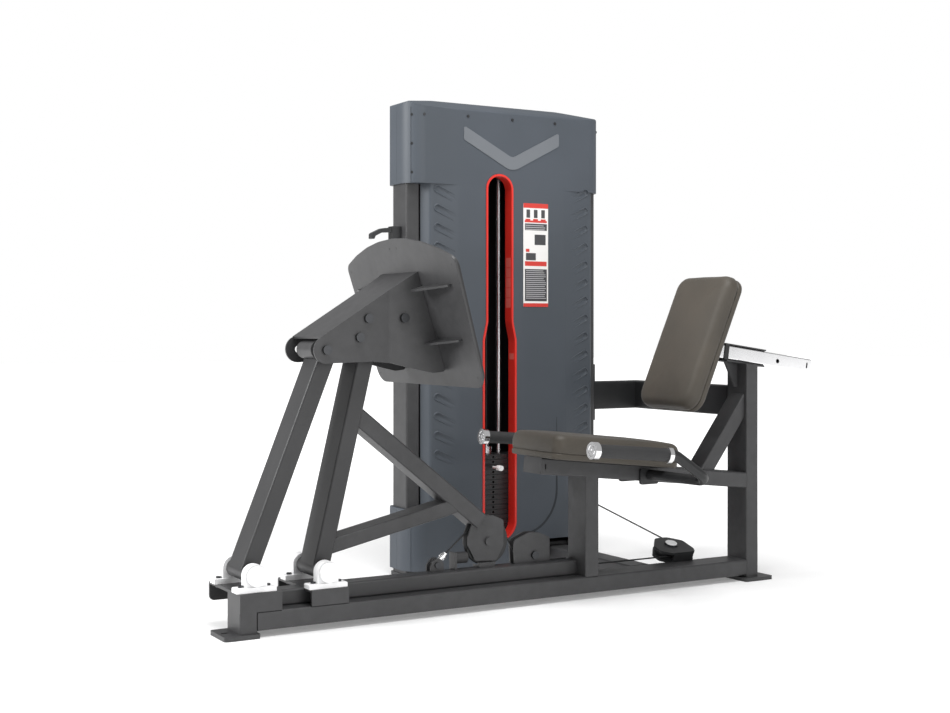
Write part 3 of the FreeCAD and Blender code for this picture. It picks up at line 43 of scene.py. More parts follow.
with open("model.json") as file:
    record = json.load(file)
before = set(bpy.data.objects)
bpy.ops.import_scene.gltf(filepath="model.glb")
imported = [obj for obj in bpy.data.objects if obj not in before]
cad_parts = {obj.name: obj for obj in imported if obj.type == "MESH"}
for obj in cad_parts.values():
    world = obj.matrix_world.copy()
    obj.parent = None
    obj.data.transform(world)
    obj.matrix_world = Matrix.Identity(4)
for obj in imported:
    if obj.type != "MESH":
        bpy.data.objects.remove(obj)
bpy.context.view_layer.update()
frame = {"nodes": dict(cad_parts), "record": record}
NODES = frame["nodes"]
random.seed(7)

# ---- smooth shading stops at edges sharper than these ----
CAD_SHARP_DEG = 32
PIECE_SHARP_DEG = 60

# ---- cushions: a form is corner radius, edge radius and crown ----
SEAT_TILT = math.radians(-6.1)
BACK_RISE = math.radians(66.3)
SEAT_FORM = (0.032, 0.024, 0.005)
BACK_FORM = (0.045, 0.028, 0.006)
WELT_BAND = 0.018
WELT_GROOVE = 0.0006
SEAM_FROM, SEAM_TO = 0.0174, 0.0186
SIDE_SAG = 0.0016
CROWN_REACH = 0.118
CORNER_STEPS = 10
STRAIGHT_PARTS = 12
LEAST_CORNER = 0.002
SIDE_START = 0.004
RIPPLE = 0.0005
RIPPLE_ALONG, RIPPLE_ACROSS = 61, 47

# ---- cables ----
CABLE_R = 0.0025
CABLE_AROUND = 12
CABLE_RINGS = 60
STRAND_TWIST = 0.35
STRAND_DEPTH = 0.06

# ---- louvres: a row is outer x, top z, way (1 is towards +X), and the outer and inner x of
# the cover's side sweep ----
LOUVRE_ROWS = ((0.908, 1.293, 1, 0.882, 0.985), (1.502, 1.307, -1, 1.530, 1.410))
LOUVRE_PITCH = 0.063
LOUVRE_COUNT = 15
LOUVRE_REACH = Vector((0.062, 0, -0.030))
LOUVRE_HALF = 0.0115
LOUVRE_SWEEP = 0.010
LOUVRE_LIP_R = 0.0026
LOUVRE_LIP_AROUND = 8
LOUVRE_LIP_TAPER = (0.12, 0.11)
LOUVRE_SIDE_STEPS = 8
LOUVRE_END_STEPS = 12

# ---- cover: how far in from its box the cover counts as inside and is painted dark as shade ----
COVER_FRONT, COVER_BACK = 0.02, 0.0035
COVER_LEFT, COVER_RIGHT = 0.09, 0.06
COVER_TOP = 0.02

# ---- print on the instruction panel: heights are fractions of the panel ----
BLOCK_EDGE = 0.0004
PRINT_SUNK, PRINT_PROUD = 0.0003, 0.0004
OVERPRINT_RED, OVERPRINT_GREY = 0.0007, 0.0008
RULE_TALL, RULE_PITCH, RULE_RAGGED = 0.007, 0.019, 0.12

# ---- marks in the weight window: walls are insets from the trim's box ----
MARK_WALLS = (0.0203, 0.0070)
MARK_COUNT = 5
MARK_PITCH, MARK_GAP, MARK_SHORT = 0.0345, 0.0022, 0.6
MARK_COLUMN, MARK_SINGLE = 0.900, 0.722
MARK_PROUD, MARK_SUNK = 0.0007, 0.001
MARK_FRONT, MARK_BACK = 0.008, 0.006

# ---- other small details; a screw is inset from the side, depth from the front, height ----
# a black sheet behind the weight window paints the shade inside the cover
SHADE_SHEET_DEPTH = 0.004
SHADE_SHEET_OUT, SHADE_SHEET_IN = 0.02, 0.004
SWIVEL_TILT = math.radians(17.35)
SWIVEL_CAP_RISE, SWIVEL_CAP_R, SWIVEL_CAP_THICK = 0.022, 0.019, 0.003
SCREW_R, SCREW_THICK, SCREW_AROUND = 0.0048, 0.0016, 16
LEFT_SCREWS = ((0.0205, 0.021, 1.535), (0.0205, 0.021, 1.440), (0.0205, 0.021, 1.345),
               (0.058, 0.003, 1.537))
RIGHT_SCREWS = ((0.012, 0.030, 1.530),)
SWEPT_DEPTH = 0.01
SWEPT_TURN, FLAT_TURN = 0.7, 0.05
CREASE_RIGHT, CREASE_BOTTOM, CREASE_R = 1.378, 0.118, 0.150
CREASE_TOP = (0.52, 0.40)
CREASE_HALF = 0.004
CREASE_PROUD, CREASE_DEEP = 0.0003, 0.002
CREASE_TAPER = (0.15, 0.4)
CREASE_STEPS = 16

# ---- studio: a light is name, place, size and power ----
AIM = (0.95, 0.2, 0.7)
LIGHTS = (("key_left", (-3.6, 1.0, 2.8), 1.6, 190),
          ("top_soft", (0.5, -1.0, 4.4), 2.2, 140),
          ("front_fill", (1.6, -4.6, 1.8), 2.0, 45))
FLOOR_HALF = 30.0
FLOOR_TONES = ((0.78, 0.78, 0.78), (0.80, 0.80, 0.80))
FLOOR_GLOW = {"From Min": 1.8, "From Max": 5.0, "To Min": 0.20, "To Max": 1.0}
WORLD_LIGHT = {"To Min": 0.42, "To Max": 1.0}
EYE = (-1.3498, -3.6037, 0.826)
EYE_YAW_DEG = -30.364
SENSOR = 36.0
LENS = 53.51
SHIFT = (-0.0033, -0.0288)


# ------------------------------------------------------------------ node material helpers
def shader_graph(name, roughness, metallic=0.0):
    material = bpy.data.materials.new(name)
    material.use_nodes = True
    tree = material.node_tree
    shader = tree.nodes["Principled BSDF"]
    shader.inputs["Roughness"].default_value = roughness
    shader.inputs["Metallic"].default_value = metallic
    return material, tree, shader


def add_node(tree, kind, inputs):
    """New node with some of its inputs set by name."""
    node = tree.nodes.new(kind)
    for key, value in inputs.items():
        node.inputs[key].default_value = value
    return node


def calculate(tree, operation, first, second):
    """Math node on a socket and on either a second socket or a number."""
    node = tree.nodes.new("ShaderNodeMath")
    node.operation = operation
    tree.links.new(first, node.inputs[0])
    if isinstance(second, float):
        node.inputs[1].default_value = second
    else:
        tree.links.new(second, node.inputs[1])
    return node.outputs[0]


def mix_in(tree, factor, base, other):
    """Base colour with another laid over it by a factor."""
    mix = tree.nodes.new("ShaderNodeMix")
    mix.data_type = "RGBA"
    mix.inputs["B"].default_value = (*other, 1)
    tree.links.new(factor, mix.inputs["Factor"])
    tree.links.new(base, mix.inputs["A"])
    return mix.outputs["Result"]


def object_noise(tree, scale, detail=3.0, stretch=(1, 1, 1)):
    """Noise in the shared frame, so that neighbouring nodes don't repeat each other."""
    where = tree.nodes.new("ShaderNodeTexCoord")
    mapping = add_node(tree, "ShaderNodeMapping", {"Scale": stretch})
    tree.links.new(where.outputs["Object"], mapping.inputs["Vector"])
    noise = add_node(tree, "ShaderNodeTexNoise", {"Scale": scale, "Detail": detail})
    tree.links.new(mapping.outputs["Vector"], noise.inputs["Vector"])
    return noise.outputs["Fac"]


def two_tones(tree, factor, low, high, start=0.35, end=0.65):
    """Colour between two tones by a factor."""
    ramp = tree.nodes.new("ShaderNodeValToRGB")
    ramp.color_ramp.elements[0].position = start
    ramp.color_ramp.elements[1].position = end
    ramp.color_ramp.elements[0].color = (*low, 1)
    ramp.color_ramp.elements[1].color = (*high, 1)
    tree.links.new(factor, ramp.inputs["Fac"])
    return ramp.outputs["Color"]


def spread_roughness(tree, shader, factor, low, high):
    """Drive a shader's roughness between two values by a factor."""
    span = add_node(tree, "ShaderNodeMapRange", {"To Min": low, "To Max": high})
    tree.links.new(factor, span.inputs["Value"])
    tree.links.new(span.outputs["Result"], shader.inputs["Roughness"])


def bump(tree, shader, height, strength, distance):
    """Bump on a shader; a second call stacks on the first."""
    node = add_node(tree, "ShaderNodeBump", {"Strength": strength, "Distance": distance})
    tree.links.new(height, node.inputs["Height"])
    previous = shader.inputs["Normal"].links
    if previous:
        tree.links.new(previous[0].from_socket, node.inputs["Normal"])
    tree.links.new(node.outputs["Normal"], shader.inputs["Normal"])


def edge_wear(tree, colour, worn, amount):
    """Lighten convex edges a little, broken up by noise."""
    geometry = tree.nodes.new("ShaderNodeNewGeometry")
    edge = add_node(tree, "ShaderNodeMapRange", {"From Min": 0.52, "From Max": 0.62})
    tree.links.new(geometry.outputs["Pointiness"], edge.inputs["Value"])
    scatter = calculate(tree, "MULTIPLY", edge.outputs["Result"], object_noise(tree, 35, 4))
    return mix_in(tree, calculate(tree, "MULTIPLY", scatter, amount), colour, worn)


def powder_coat(name, low, high, roughness=0.42):
    """Baked powder paint: fine orange peel, faint cloudiness and slightly worn edges."""
    material, tree, shader = shader_graph(name, roughness)
    cloud = object_noise(tree, 5, 2)
    colour = two_tones(tree, cloud, low, high, 0.3, 0.7)
    colour = edge_wear(tree, colour, tuple(min(1, c * 2.2) for c in high), 0.5)
    tree.links.new(colour, shader.inputs["Base Color"])
    spread_roughness(tree, shader, object_noise(tree, 18, 4), roughness - 0.05, roughness + 0.08)
    bump(tree, shader, object_noise(tree, 900, 2), 0.12, 0.0003)
    shader.inputs["Specular IOR Level"].default_value = 0.45
    return material


def moulded(name, low, high, roughness, grain=1400, depth=0.15):
    """Moulded plastic with a fine leathery spark texture."""
    material, tree, shader = shader_graph(name, roughness)
    colour = two_tones(tree, object_noise(tree, 3, 2), low, high)
    tree.links.new(colour, shader.inputs["Base Color"])
    spread_roughness(tree, shader, object_noise(tree, 12, 3), roughness - 0.04, roughness + 0.06)
    bump(tree, shader, object_noise(tree, grain, 3), depth, 0.0002)
    return material


def polished(name, colour, roughness):
    """Bright metal with faint polishing streaks."""
    material, tree, shader = shader_graph(name, roughness, 1.0)
    tone = two_tones(tree, object_noise(tree, 8, 2), tuple(c * 0.94 for c in colour), colour)
    tree.links.new(tone, shader.inputs["Base Color"])
    streaks = object_noise(tree, 60, 4, (1, 12, 12))
    spread_roughness(tree, shader, streaks, roughness * 0.7, roughness * 1.5)
    bump(tree, shader, streaks, 0.03, 0.0002)
    return material


def leather(name, low, high):
    """Synthetic leather: cell grain, fine pores, soft sheen and a slow change of tone."""
    material, tree, shader = shader_graph(name, 0.55)
    colour = two_tones(tree, object_noise(tree, 6, 3), low, high, 0.3, 0.7)
    where = tree.nodes.new("ShaderNodeTexCoord")
    cells = add_node(tree, "ShaderNodeTexVoronoi", {"Scale": 520})
    cells.feature = "DISTANCE_TO_EDGE"
    tree.links.new(where.outputs["Object"], cells.inputs["Vector"])
    tree.links.new(colour, shader.inputs["Base Color"])
    spread_roughness(tree, shader, object_noise(tree, 40, 3), 0.48, 0.64)
    bump(tree, shader, cells.outputs["Distance"], 0.35, 0.0006)
    bump(tree, shader, object_noise(tree, 2200, 2), 0.12, 0.0002)
    shader.inputs["Sheen Weight"].default_value = 0.12
    shader.inputs["Sheen Roughness"].default_value = 0.5
    return material


def linear(code):
    """Linear colour from a six-digit sRGB code."""
    values = [int(code[i:i + 2], 16) / 255 for i in (0, 2, 4)]
    return tuple(v / 12.92 if v <= 0.04045 else ((v + 0.055) / 1.055) ** 2.4 for v in values)


def cover_shell(name, low, high):
    """Slate cover: textured outside, with painted shade inside where the light doesn't reach."""
    material = moulded(name, low, high, 0.5)
    tree = material.node_tree
    shader = tree.nodes["Principled BSDF"]
    outside = shader.inputs["Base Color"].links[0].from_socket
    front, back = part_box("front_shroud")[0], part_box("rear_shroud")[1]
    place = tree.nodes.new("ShaderNodeTexCoord")
    axes = tree.nodes.new("ShaderNodeSeparateXYZ")
    tree.links.new(place.outputs["Object"], axes.inputs[0])
    tests = (("Y", "GREATER_THAN", front.y + COVER_FRONT),
             ("Y", "LESS_THAN", back.y - COVER_BACK),
             ("X", "GREATER_THAN", front.x + COVER_LEFT),
             ("X", "LESS_THAN", back.x - COVER_RIGHT),
             ("Z", "LESS_THAN", back.z - COVER_TOP))
    painted_shade_inside = None
    for axis, test, limit in tests:
        check = calculate(tree, test, axes.outputs[axis], limit)
        painted_shade_inside = check if painted_shade_inside is None else calculate(tree, "MULTIPLY", painted_shade_inside, check)
    # the inside is painted near black: painted shade where the light doesn't reach into the cover
    colour = mix_in(tree, painted_shade_inside, outside, (0.004, 0.004, 0.005))
    tree.links.new(colour, shader.inputs["Base Color"])
    return material


def make_materials():
    """Material of every slot in the record, then those of the extra details."""
    return {
        "frame_paint": powder_coat("charcoal_powder_coat", linear("2f2f30"), linear("353536")),
        "black_paint": powder_coat("black_powder_coat", linear("1b1b1c"), linear("222324"), 0.38),
        "black_plastic": moulded("black_moulded_plastic", linear("161617"), linear("1e1f20"), 0.42),
        "rubber": moulded("grip_rubber", linear("262627"), linear("313132"), 0.62, 700, 0.35),
        "chrome": polished("polished_chrome", (0.95, 0.95, 0.96), 0.12),
        "cast_aluminium": moulded("bright_cast_metal", linear("eeeeef"), linear("fafafa"),
                                  0.35, 500),
        "zinc": polished("dark_zinc", linear("4a4b4d"), 0.36),
        "upholstery": leather("taupe_leather", linear("3a352d"), linear("423c33")),
        "plywood": moulded("backed_board", linear("221f1c"), linear("2c2825"), 0.7, 300, 0.3),
        "cover_plastic": cover_shell("slate_cover", linear("41474e"), linear("464c54")),
        "chevron_plastic": moulded("grey_panel", linear("666a6f"), linear("6c7075"), 0.45),
        "red_plastic": moulded("red_gloss", linear("d0281f"), linear("dc3127"), 0.3, 900, 0.05),
        "panel": moulded("printed_panel", linear("e6e4e1"), linear("eeecea"), 0.4, 800, 0.03),
        "stack_iron": powder_coat("stack_enamel", linear("19191a"), linear("212122"), 0.35),
        "cable": moulded("cable_jacket", linear("101011"), linear("18181a"), 0.4, 1200, 0.2),
        "steel_rod": polished("ground_steel", (0.62, 0.62, 0.64), 0.22),
        "panel_red": moulded("panel_red", linear("c8322a"), linear("d03a30"), 0.42, 800, 0.03),
        "panel_grey": moulded("panel_grey", linear("b0b0b1"), linear("bababb"), 0.42, 800, 0.03),
        "panel_dark": moulded("panel_dark", linear("3a3a3c"), linear("444446"), 0.42, 800, 0.03),
        "trim_mark": moulded("trim_mark", linear("d86058"), linear("e06a60"), 0.35, 800, 0.03),
        # dark material for the cushions' welt groove: painted shade in the groove
        "seam": moulded("seam_shadow", linear("26221e"), linear("2e2924"), 0.7, 900, 0.1),
        # darker cover material for the front panel's crease: painted shade along the crease
        "crease_shade": moulded("painted_crease_shade", linear("24282d"), linear("2a2f35"), 0.7, 900, 0.1),
        "white_knob": moulded("white_knob", linear("e8e8e8"), linear("f4f4f4"), 0.35, 900, 0.03),
    }


MATERIALS = make_materials()


# ------------------------------------------------------------------ mesh helpers
def new_piece(name, mesh_data, body, slot, material=None):
    """Visible piece from mesh data, riding a body if one is given."""
    mesh = bpy.data.meshes.new(name)
    mesh_data.to_mesh(mesh)
    mesh_data.free()
    piece = bpy.data.objects.new(name, mesh)
    bpy.context.scene.collection.objects.link(piece)
    piece.data.materials.append(MATERIALS[material or slot])
    if body:
        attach(piece, body)
    return piece


def smooth(piece, degrees):
    """Smooth shading, except over edges sharper than an angle."""
    for polygon in piece.data.polygons:
        polygon.use_smooth = True
    piece.data.set_sharp_from_angle(angle=math.radians(degrees))


def soften_edges(piece, width):
    """Small real bevel on the sharp edges, so that they catch the light."""
    bevel = piece.modifiers.new("soft_edges", "BEVEL")
    bevel.width = width
    bevel.segments = 1
    bevel.limit_method = "ANGLE"
    bevel.angle_limit = math.radians(40)
    bevel.harden_normals = True
    bevel.use_clamp_overlap = True


def add_ring(mesh, centre, turn, radius, around, height=0.0):
    """Ring of new vertices round a centre, in its plane or a height above it."""
    return [mesh.verts.new(centre + turn @ Vector((
        radius * math.cos(2 * math.pi * k / around),
        radius * math.sin(2 * math.pi * k / around), height))) for k in range(around)]


def skin_rows(mesh, rows):
    """Closed skin over rows of vertices, with a flat cap on the first and the last row."""
    around = len(rows[0])
    for lower, upper in zip(rows, rows[1:]):
        for k in range(around):
            following = (k + 1) % around
            mesh.faces.new((lower[k], lower[following], upper[following], upper[k]))
    mesh.faces.new(list(reversed(rows[0])))
    mesh.faces.new(rows[-1])


# CAD nodes that don't take the material of their slot
SPECIAL = {"selector_pin": "white_knob"}


def dress_cad_nodes():
    """Smooth shading and a procedural material for every CAD node that stays visible."""
    slots = {part["node"]: part["material_slot"] for part in frame["record"]["subparts"]}
    for name, node in NODES.items():
        smooth(node, CAD_SHARP_DEG)
        node.data.materials.clear()
        node.data.materials.append(MATERIALS[SPECIAL.get(name, slots[name])])


dress_cad_nodes()


# ------------------------------------------------------------------ upholstery
def rounded_ring(half_x, half_y, radius):
    """Points of a rounded rectangle, the same count whatever its size."""
    steps = CORNER_STEPS
    radius = max(min(radius, half_x - LEAST_CORNER, half_y - LEAST_CORNER), LEAST_CORNER)
    points = []
    for quarter in range(4):
        sign_x = 1 if quarter in (0, 3) else -1
        sign_y = 1 if quarter in (0, 1) else -1
        centre = Vector((sign_x * (half_x - radius), sign_y * (half_y - radius)))
        for step in range(steps + 1):
            angle = math.radians(90 * (quarter + step / steps))
            points.append(centre + radius * Vector((math.cos(angle), math.sin(angle))))
    dense = []
    for index, point in enumerate(points):
        following = points[(index + 1) % len(points)]
        parts = STRAIGHT_PARTS if index % (steps + 1) == steps else 1
        dense += [point.lerp(following, k / parts) for k in range(parts)]
    return dense


def cushion_rings(thick, round_r, crown):
    """Profile of a crowned cushion as (inset, height): base, welted band, side, edge and crown."""
    band = WELT_BAND
    rings = [(0.060, 0.0), (0.012, 0.0), (0.004, 0.0), (0.001, 0.0012), (0.0, 0.004)]
    rings += [(-0.0008, band * 0.5), (0.0, band - 0.003), (0.0008, band - 0.0012)]
    rings += [(0.0030, band), (0.0030, band + WELT_GROOVE), (0.0010, band + 0.0018)]
    rings += [(0.0002, band + SIDE_START)]
    side_top = thick - round_r
    for step in range(1, 5):
        t = step / 5
        height = band + SIDE_START + (side_top - band - SIDE_START) * t
        rings.append((-SIDE_SAG * math.sin(math.pi * t), height))
    for step in range(0, 8):
        angle = math.radians(90 * step / 7)
        rings.append((round_r * (1 - math.cos(angle)), side_top + round_r * math.sin(angle)))
    for step in range(1, 9):
        t = step / 8
        inset = round_r + (CROWN_REACH - round_r) * t
        rings.append((inset, thick + crown * (1 - (1 - t) ** 2)))
    return rings


def local_frame(along, thick_way):
    """3x3 matrix whose columns are the cushion's length, width and thickness directions."""
    width = thick_way.cross(along)
    return Matrix((along, width, thick_way)).transposed()


def extents(nodes, axes):
    """Lowest and highest local coordinates of some CAD nodes."""
    turn = axes.transposed()
    points = [turn @ vertex.co for node in nodes for vertex in NODES[node].data.vertices]
    low = Vector([min(point[i] for point in points) for i in range(3)])
    high = Vector([max(point[i] for point in points) for i in range(3)])
    return low, high


def upholstered(name, nodes, along, thick_way, body, form):
    """Crowned cushion with a welted band, in the space of its CAD pad and board."""
    corner, round_r, crown = form
    axes = local_frame(along, thick_way)
    low, high = extents(nodes, axes)
    half = (high - low) / 2
    centre = (high + low) / 2
    shell = bmesh.new()
    rows = []
    for inset, height in cushion_rings(2 * half.z, round_r, crown):
        ring = rounded_ring(half.x - inset, half.y - inset, corner - inset * 0.6)
        verts = []
        for point in ring:
            ripple = RIPPLE * math.sin(point.x * RIPPLE_ALONG) * math.sin(
                point.y * RIPPLE_ACROSS + 1)
            lift = ripple if 0.02 < height < 2 * half.z - 0.004 else 0
            outward = Vector((point.x, point.y, 0)).normalized() * lift
            local = Vector((point.x, point.y, height - half.z)) + outward
            verts.append(shell.verts.new(axes @ (centre + local)))
        rows.append(verts)
    skin_rows(shell, rows)
    bmesh.ops.recalc_face_normals(shell, faces=shell.faces)
    cushion = new_piece(name, shell, None, "upholstery")
    cushion.data.materials.append(MATERIALS["seam"])
    base = thick_way.dot(axes @ centre) - half.z
    # the faces of the welt groove take the dark seam material: painted shade in the groove
    for polygon in cushion.data.polygons:
        height = thick_way.dot(polygon.center) - base
        polygon.material_index = 1 if SEAM_FROM < height < SEAM_TO else 0
    smooth(cushion, PIECE_SHARP_DEG)
    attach(cushion, body)
    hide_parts(*nodes)


SEAT_ALONG = Vector((math.cos(SEAT_TILT), 0, math.sin(SEAT_TILT)))
SEAT_UP = Vector((-math.sin(SEAT_TILT), 0, math.cos(SEAT_TILT)))
BACK_ALONG = Vector((math.cos(BACK_RISE), 0, math.sin(BACK_RISE)))
BACK_OUT = Vector((-math.sin(BACK_RISE), 0, math.cos(BACK_RISE)))


def make_upholstery():
    upholstered("seat_cushion", ("seat_pad", "seat_board"), SEAT_ALONG, SEAT_UP,
                "frame", SEAT_FORM)
    upholstered("back_cushion", ("back_pad", "back_board"), BACK_ALONG, BACK_OUT,
                "backrest", BACK_FORM)


make_upholstery()


# ------------------------------------------------------------------ cables
def cable_piece(name, nodes, start, end):
    """Stranded cable between two points."""
    shape = bmesh.new()
    along = end - start
    turn = along.to_track_quat("Z", "Y").to_matrix()
    rows = []
    for ring in range(CABLE_RINGS + 1):
        row = []
        for k in range(CABLE_AROUND):
            twist = 2 * math.pi * (k / CABLE_AROUND) + ring * STRAND_TWIST
            size = CABLE_R * (1 + STRAND_DEPTH * math.cos(3 * twist - ring * 0.9))
            local = Vector((math.cos(twist), math.sin(twist), 0)) * size
            row.append(shape.verts.new(start + along * (ring / CABLE_RINGS) + turn @ local))
        rows.append(row)
    skin_rows(shape, rows)
    piece = new_piece(name, shape, None, "cable")
    smooth(piece, PIECE_SHARP_DEG)
    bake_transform(piece)
    if nodes:
        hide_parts(*nodes)


def solid_points(node, index):
    """Points of one solid of a node, a loose island of its mesh, counted from the left."""
    mesh = bmesh.new()
    mesh.from_mesh(NODES[node].data)
    bmesh.ops.remove_doubles(mesh, verts=mesh.verts, dist=1e-6)
    islands, seen = [], set()
    for vertex in mesh.verts:
        if vertex in seen:
            continue
        island, queue = [], [vertex]
        seen.add(vertex)
        while queue:
            here = queue.pop()
            island.append(here.co.copy())
            for edge in here.link_edges:
                other = edge.other_vert(here)
                if other not in seen:
                    seen.add(other)
                    queue.append(other)
        islands.append(island)
    mesh.free()
    islands.sort(key=lambda points: min(point.x for point in points))
    return islands[index]


def axis_ends(points):
    """Centres of the two end rings of a straight round bar in the XZ plane."""
    middle = sum(points, Vector()) / len(points)
    far = max(points, key=lambda point: (point - middle).length)
    side = 1 if (far - middle).x > 0 else -1
    ends = []
    for sign in (-side, side):
        end = [p for p in points if (p - middle).dot(far - middle) * side * sign > 0]
        ends.append(sum(end, Vector()) / len(end))
    return ends


def make_cables():
    anchor, lift = [sorted(axis_ends(solid_points("arm_cable", index)), key=lambda p: p.x)
                    for index in (0, 1)]
    cable_piece("anchor_run", ("arm_cable",), anchor[0], anchor[1])
    cable_piece("lift_run", (), lift[1], lift[0])
    low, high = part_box("stack_cable")
    centre = (low + high) / 2
    top = Vector((centre.x, centre.y, high.z))
    bottom = Vector((centre.x, centre.y, low.z))
    cable_piece("stack_run", ("stack_cable",), top, bottom)


make_cables()


# ------------------------------------------------------------------ small surface details
def add_box(mesh, low, high):
    """Box between a low and a high corner."""
    corners = [Vector((x, y, z)) for x in (low.x, high.x) for y in (low.y, high.y)
               for z in (low.z, high.z)]
    verts = [mesh.verts.new(corner) for corner in corners]
    for face in ((0, 1, 3, 2), (4, 6, 7, 5), (0, 4, 5, 1),
                 (2, 3, 7, 6), (0, 2, 6, 4), (1, 5, 7, 3)):
        mesh.faces.new([verts[i] for i in face])


def thin_blocks(name, blocks, material, slot):
    """Thin printed or moulded blocks on the frame, each given by its low and high corner."""
    mesh = bmesh.new()
    for low, high in blocks:
        add_box(mesh, low, high)
    bmesh.ops.recalc_face_normals(mesh, faces=mesh.faces)
    soften_edges(new_piece(name, mesh, "frame", slot, material), BLOCK_EDGE)


def instruction_panel_print():
    """Generic blocks on the instruction panel: bands, plain pictures and grey rules.

    A block's sides are fractions of the panel's width and height.
    """
    low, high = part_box("instruction_panel")
    wide, tall = high.x - low.x, high.z - low.z
    face = low.y

    def block(x0, x1, z0, z1, lift=PRINT_PROUD):
        return (Vector((low.x + x0 * wide, face - lift, low.z + z0 * tall)),
                Vector((low.x + x1 * wide, face + PRINT_SUNK, low.z + z1 * tall)))

    red = [block(0, 1, 0.955, 1), block(0.05, 0.95, 0.815, 0.835), block(0, 1, 0, 0.035),
           block(0.06, 0.94, 0.395, 0.44), block(0.10, 0.24, 0.53, 0.56, OVERPRINT_RED)]
    red += [block(0.08 + 0.31 * k, 0.28 + 0.31 * k, 0.835, 0.85) for k in range(3)]
    thin_blocks("panel_red_blocks", red, "panel_red", "panel")
    dark = [block(0.12 + 0.3 * k, 0.27 + 0.3 * k, 0.86, 0.94) for k in range(3)]
    dark += [block(0.45, 0.9, 0.60, 0.70), block(0.1, 0.5, 0.45, 0.52)]
    dark += [block(0.06, 0.95, 0.055, 0.365), block(0.06, 0.95, 0.74, 0.805)]
    thin_blocks("panel_dark_blocks", dark, "panel_dark", "panel")
    rules = []
    for first, last, left, right in ((0.745, 0.80, 0.08, 0.9), (0.08, 0.36, 0.1, 0.92)):
        z = first
        while z < last:
            ragged = right - RULE_RAGGED * random.random()
            rules.append(block(left, ragged, z, z + RULE_TALL, OVERPRINT_GREY))
            z += RULE_PITCH
    thin_blocks("panel_grey_rules", rules, "panel_grey", "panel")


def trim_marks():
    """Lighter blocks on the far inner wall of the weight window: a column of five and a single."""
    low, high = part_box("slot_trim")
    narrow_wall, wide_wall = [high.x - inset for inset in MARK_WALLS]
    places = [(narrow_wall, MARK_COLUMN + MARK_PITCH * step) for step in range(MARK_COUNT)]
    places.append((wide_wall, MARK_SINGLE))
    blocks = []
    for wall, z in places:
        tall = MARK_PITCH - MARK_GAP if wall == narrow_wall else MARK_PITCH * MARK_SHORT
        blocks.append((Vector((wall - MARK_PROUD, low.y + MARK_FRONT, z)),
                       Vector((wall + MARK_SUNK, high.y - MARK_BACK, z + tall))))
    thin_blocks("trim_marks", blocks, "trim_mark", "red_plastic")


def slot_shade_sheet():
    """Black sheet behind the weight window that stands in for the shade inside the cover, open in
    the middle for the pin's travel.
    """
    low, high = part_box("slot_trim")
    mesh = bmesh.new()
    for left, right in ((low.x - SHADE_SHEET_OUT, low.x + SHADE_SHEET_IN),
                        (high.x - SHADE_SHEET_IN, high.x + SHADE_SHEET_OUT)):
        add_box(mesh, Vector((left, high.y, low.z)),
                Vector((right, high.y + SHADE_SHEET_DEPTH, high.z)))
    bmesh.ops.recalc_face_normals(mesh, faces=mesh.faces)
    new_piece("slot_shade_sheet", mesh, "frame", "black_plastic")


def disc(mesh, centre, axis, radius, thick, around=28):
    """Closed round disc of a given thickness, standing on centre."""
    turn = axis.to_track_quat("Z", "Y").to_matrix()
    skin_rows(mesh, [add_ring(mesh, centre, turn, size, around, height)
                     for height, size in ((0, radius), (thick * 0.7, radius),
                                          (thick, radius * 0.94))])


def swivel_cap():
    """Pale cap over the bolt of the tilted pulley."""
    low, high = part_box("swivel_pulley")
    axis = Vector((0, -math.sin(SWIVEL_TILT), math.cos(SWIVEL_TILT)))
    mesh = bmesh.new()
    centre = (low + high) / 2 + axis * SWIVEL_CAP_RISE
    disc(mesh, centre, axis, SWIVEL_CAP_R, SWIVEL_CAP_THICK)
    new_piece("swivel_cap", mesh, "frame", "cast_aluminium")


def heading(path, place):
    """Direction of a path at one of its points, from the point before to the point after."""
    return path[min(place + 1, len(path) - 1)] - path[max(place - 1, 0)]


def tapered(path, place, taper):
    """Share of the full size at a point of a path that starts and ends thin."""
    start, step = taper
    return min(1.0, start + step * min(place, len(path) - 1 - place))


def louvre_outline(centre, way, outer, inner, face):
    """Finger outline on the swept cover: along the top, round the outer end and back."""
    reach = Vector((LOUVRE_REACH.x * way, 0, LOUVRE_REACH.z))
    along = reach.normalized()
    across = Vector((-along.z, 0, along.x)) * way
    sides, ends = LOUVRE_SIDE_STEPS, LOUVRE_END_STEPS
    flat = [centre + reach * (1 - k / sides) + across * LOUVRE_HALF for k in range(sides)]
    for step in range(ends + 1):
        angle = math.radians(90 + 180 * step / ends)
        flat.append(centre + along * LOUVRE_HALF * math.cos(angle)
                    + across * LOUVRE_HALF * math.sin(angle))
    flat += [centre + reach * (k / sides) - across * LOUVRE_HALF for k in range(1, sides + 1)]
    return [Vector((p.x, face + LOUVRE_SWEEP * min(1, max(0, (inner - p.x) / (inner - outer))),
                    p.z)) for p in flat]


def louvre_lips():
    """Raised lip round every louvre of the cover, fading out towards the middle."""
    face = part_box("front_shroud")[0].y
    mesh = bmesh.new()
    for outer_x, top_z, way, outer, inner in LOUVRE_ROWS:
        for index in range(LOUVRE_COUNT):
            centre = Vector((outer_x, 0, top_z - index * LOUVRE_PITCH))
            path = louvre_outline(centre, way, outer, inner, face)
            rows = []
            for place, point in enumerate(path):
                turn = heading(path, place).to_track_quat("Z", "Y").to_matrix()
                size = LOUVRE_LIP_R * tapered(path, place, LOUVRE_LIP_TAPER)
                rows.append(add_ring(mesh, point, turn, size, LOUVRE_LIP_AROUND))
            skin_rows(mesh, rows)
    bmesh.ops.recalc_face_normals(mesh, faces=mesh.faces)
    smooth(new_piece("louvre_lips", mesh, "frame", "cover_plastic"), PIECE_SHARP_DEG)


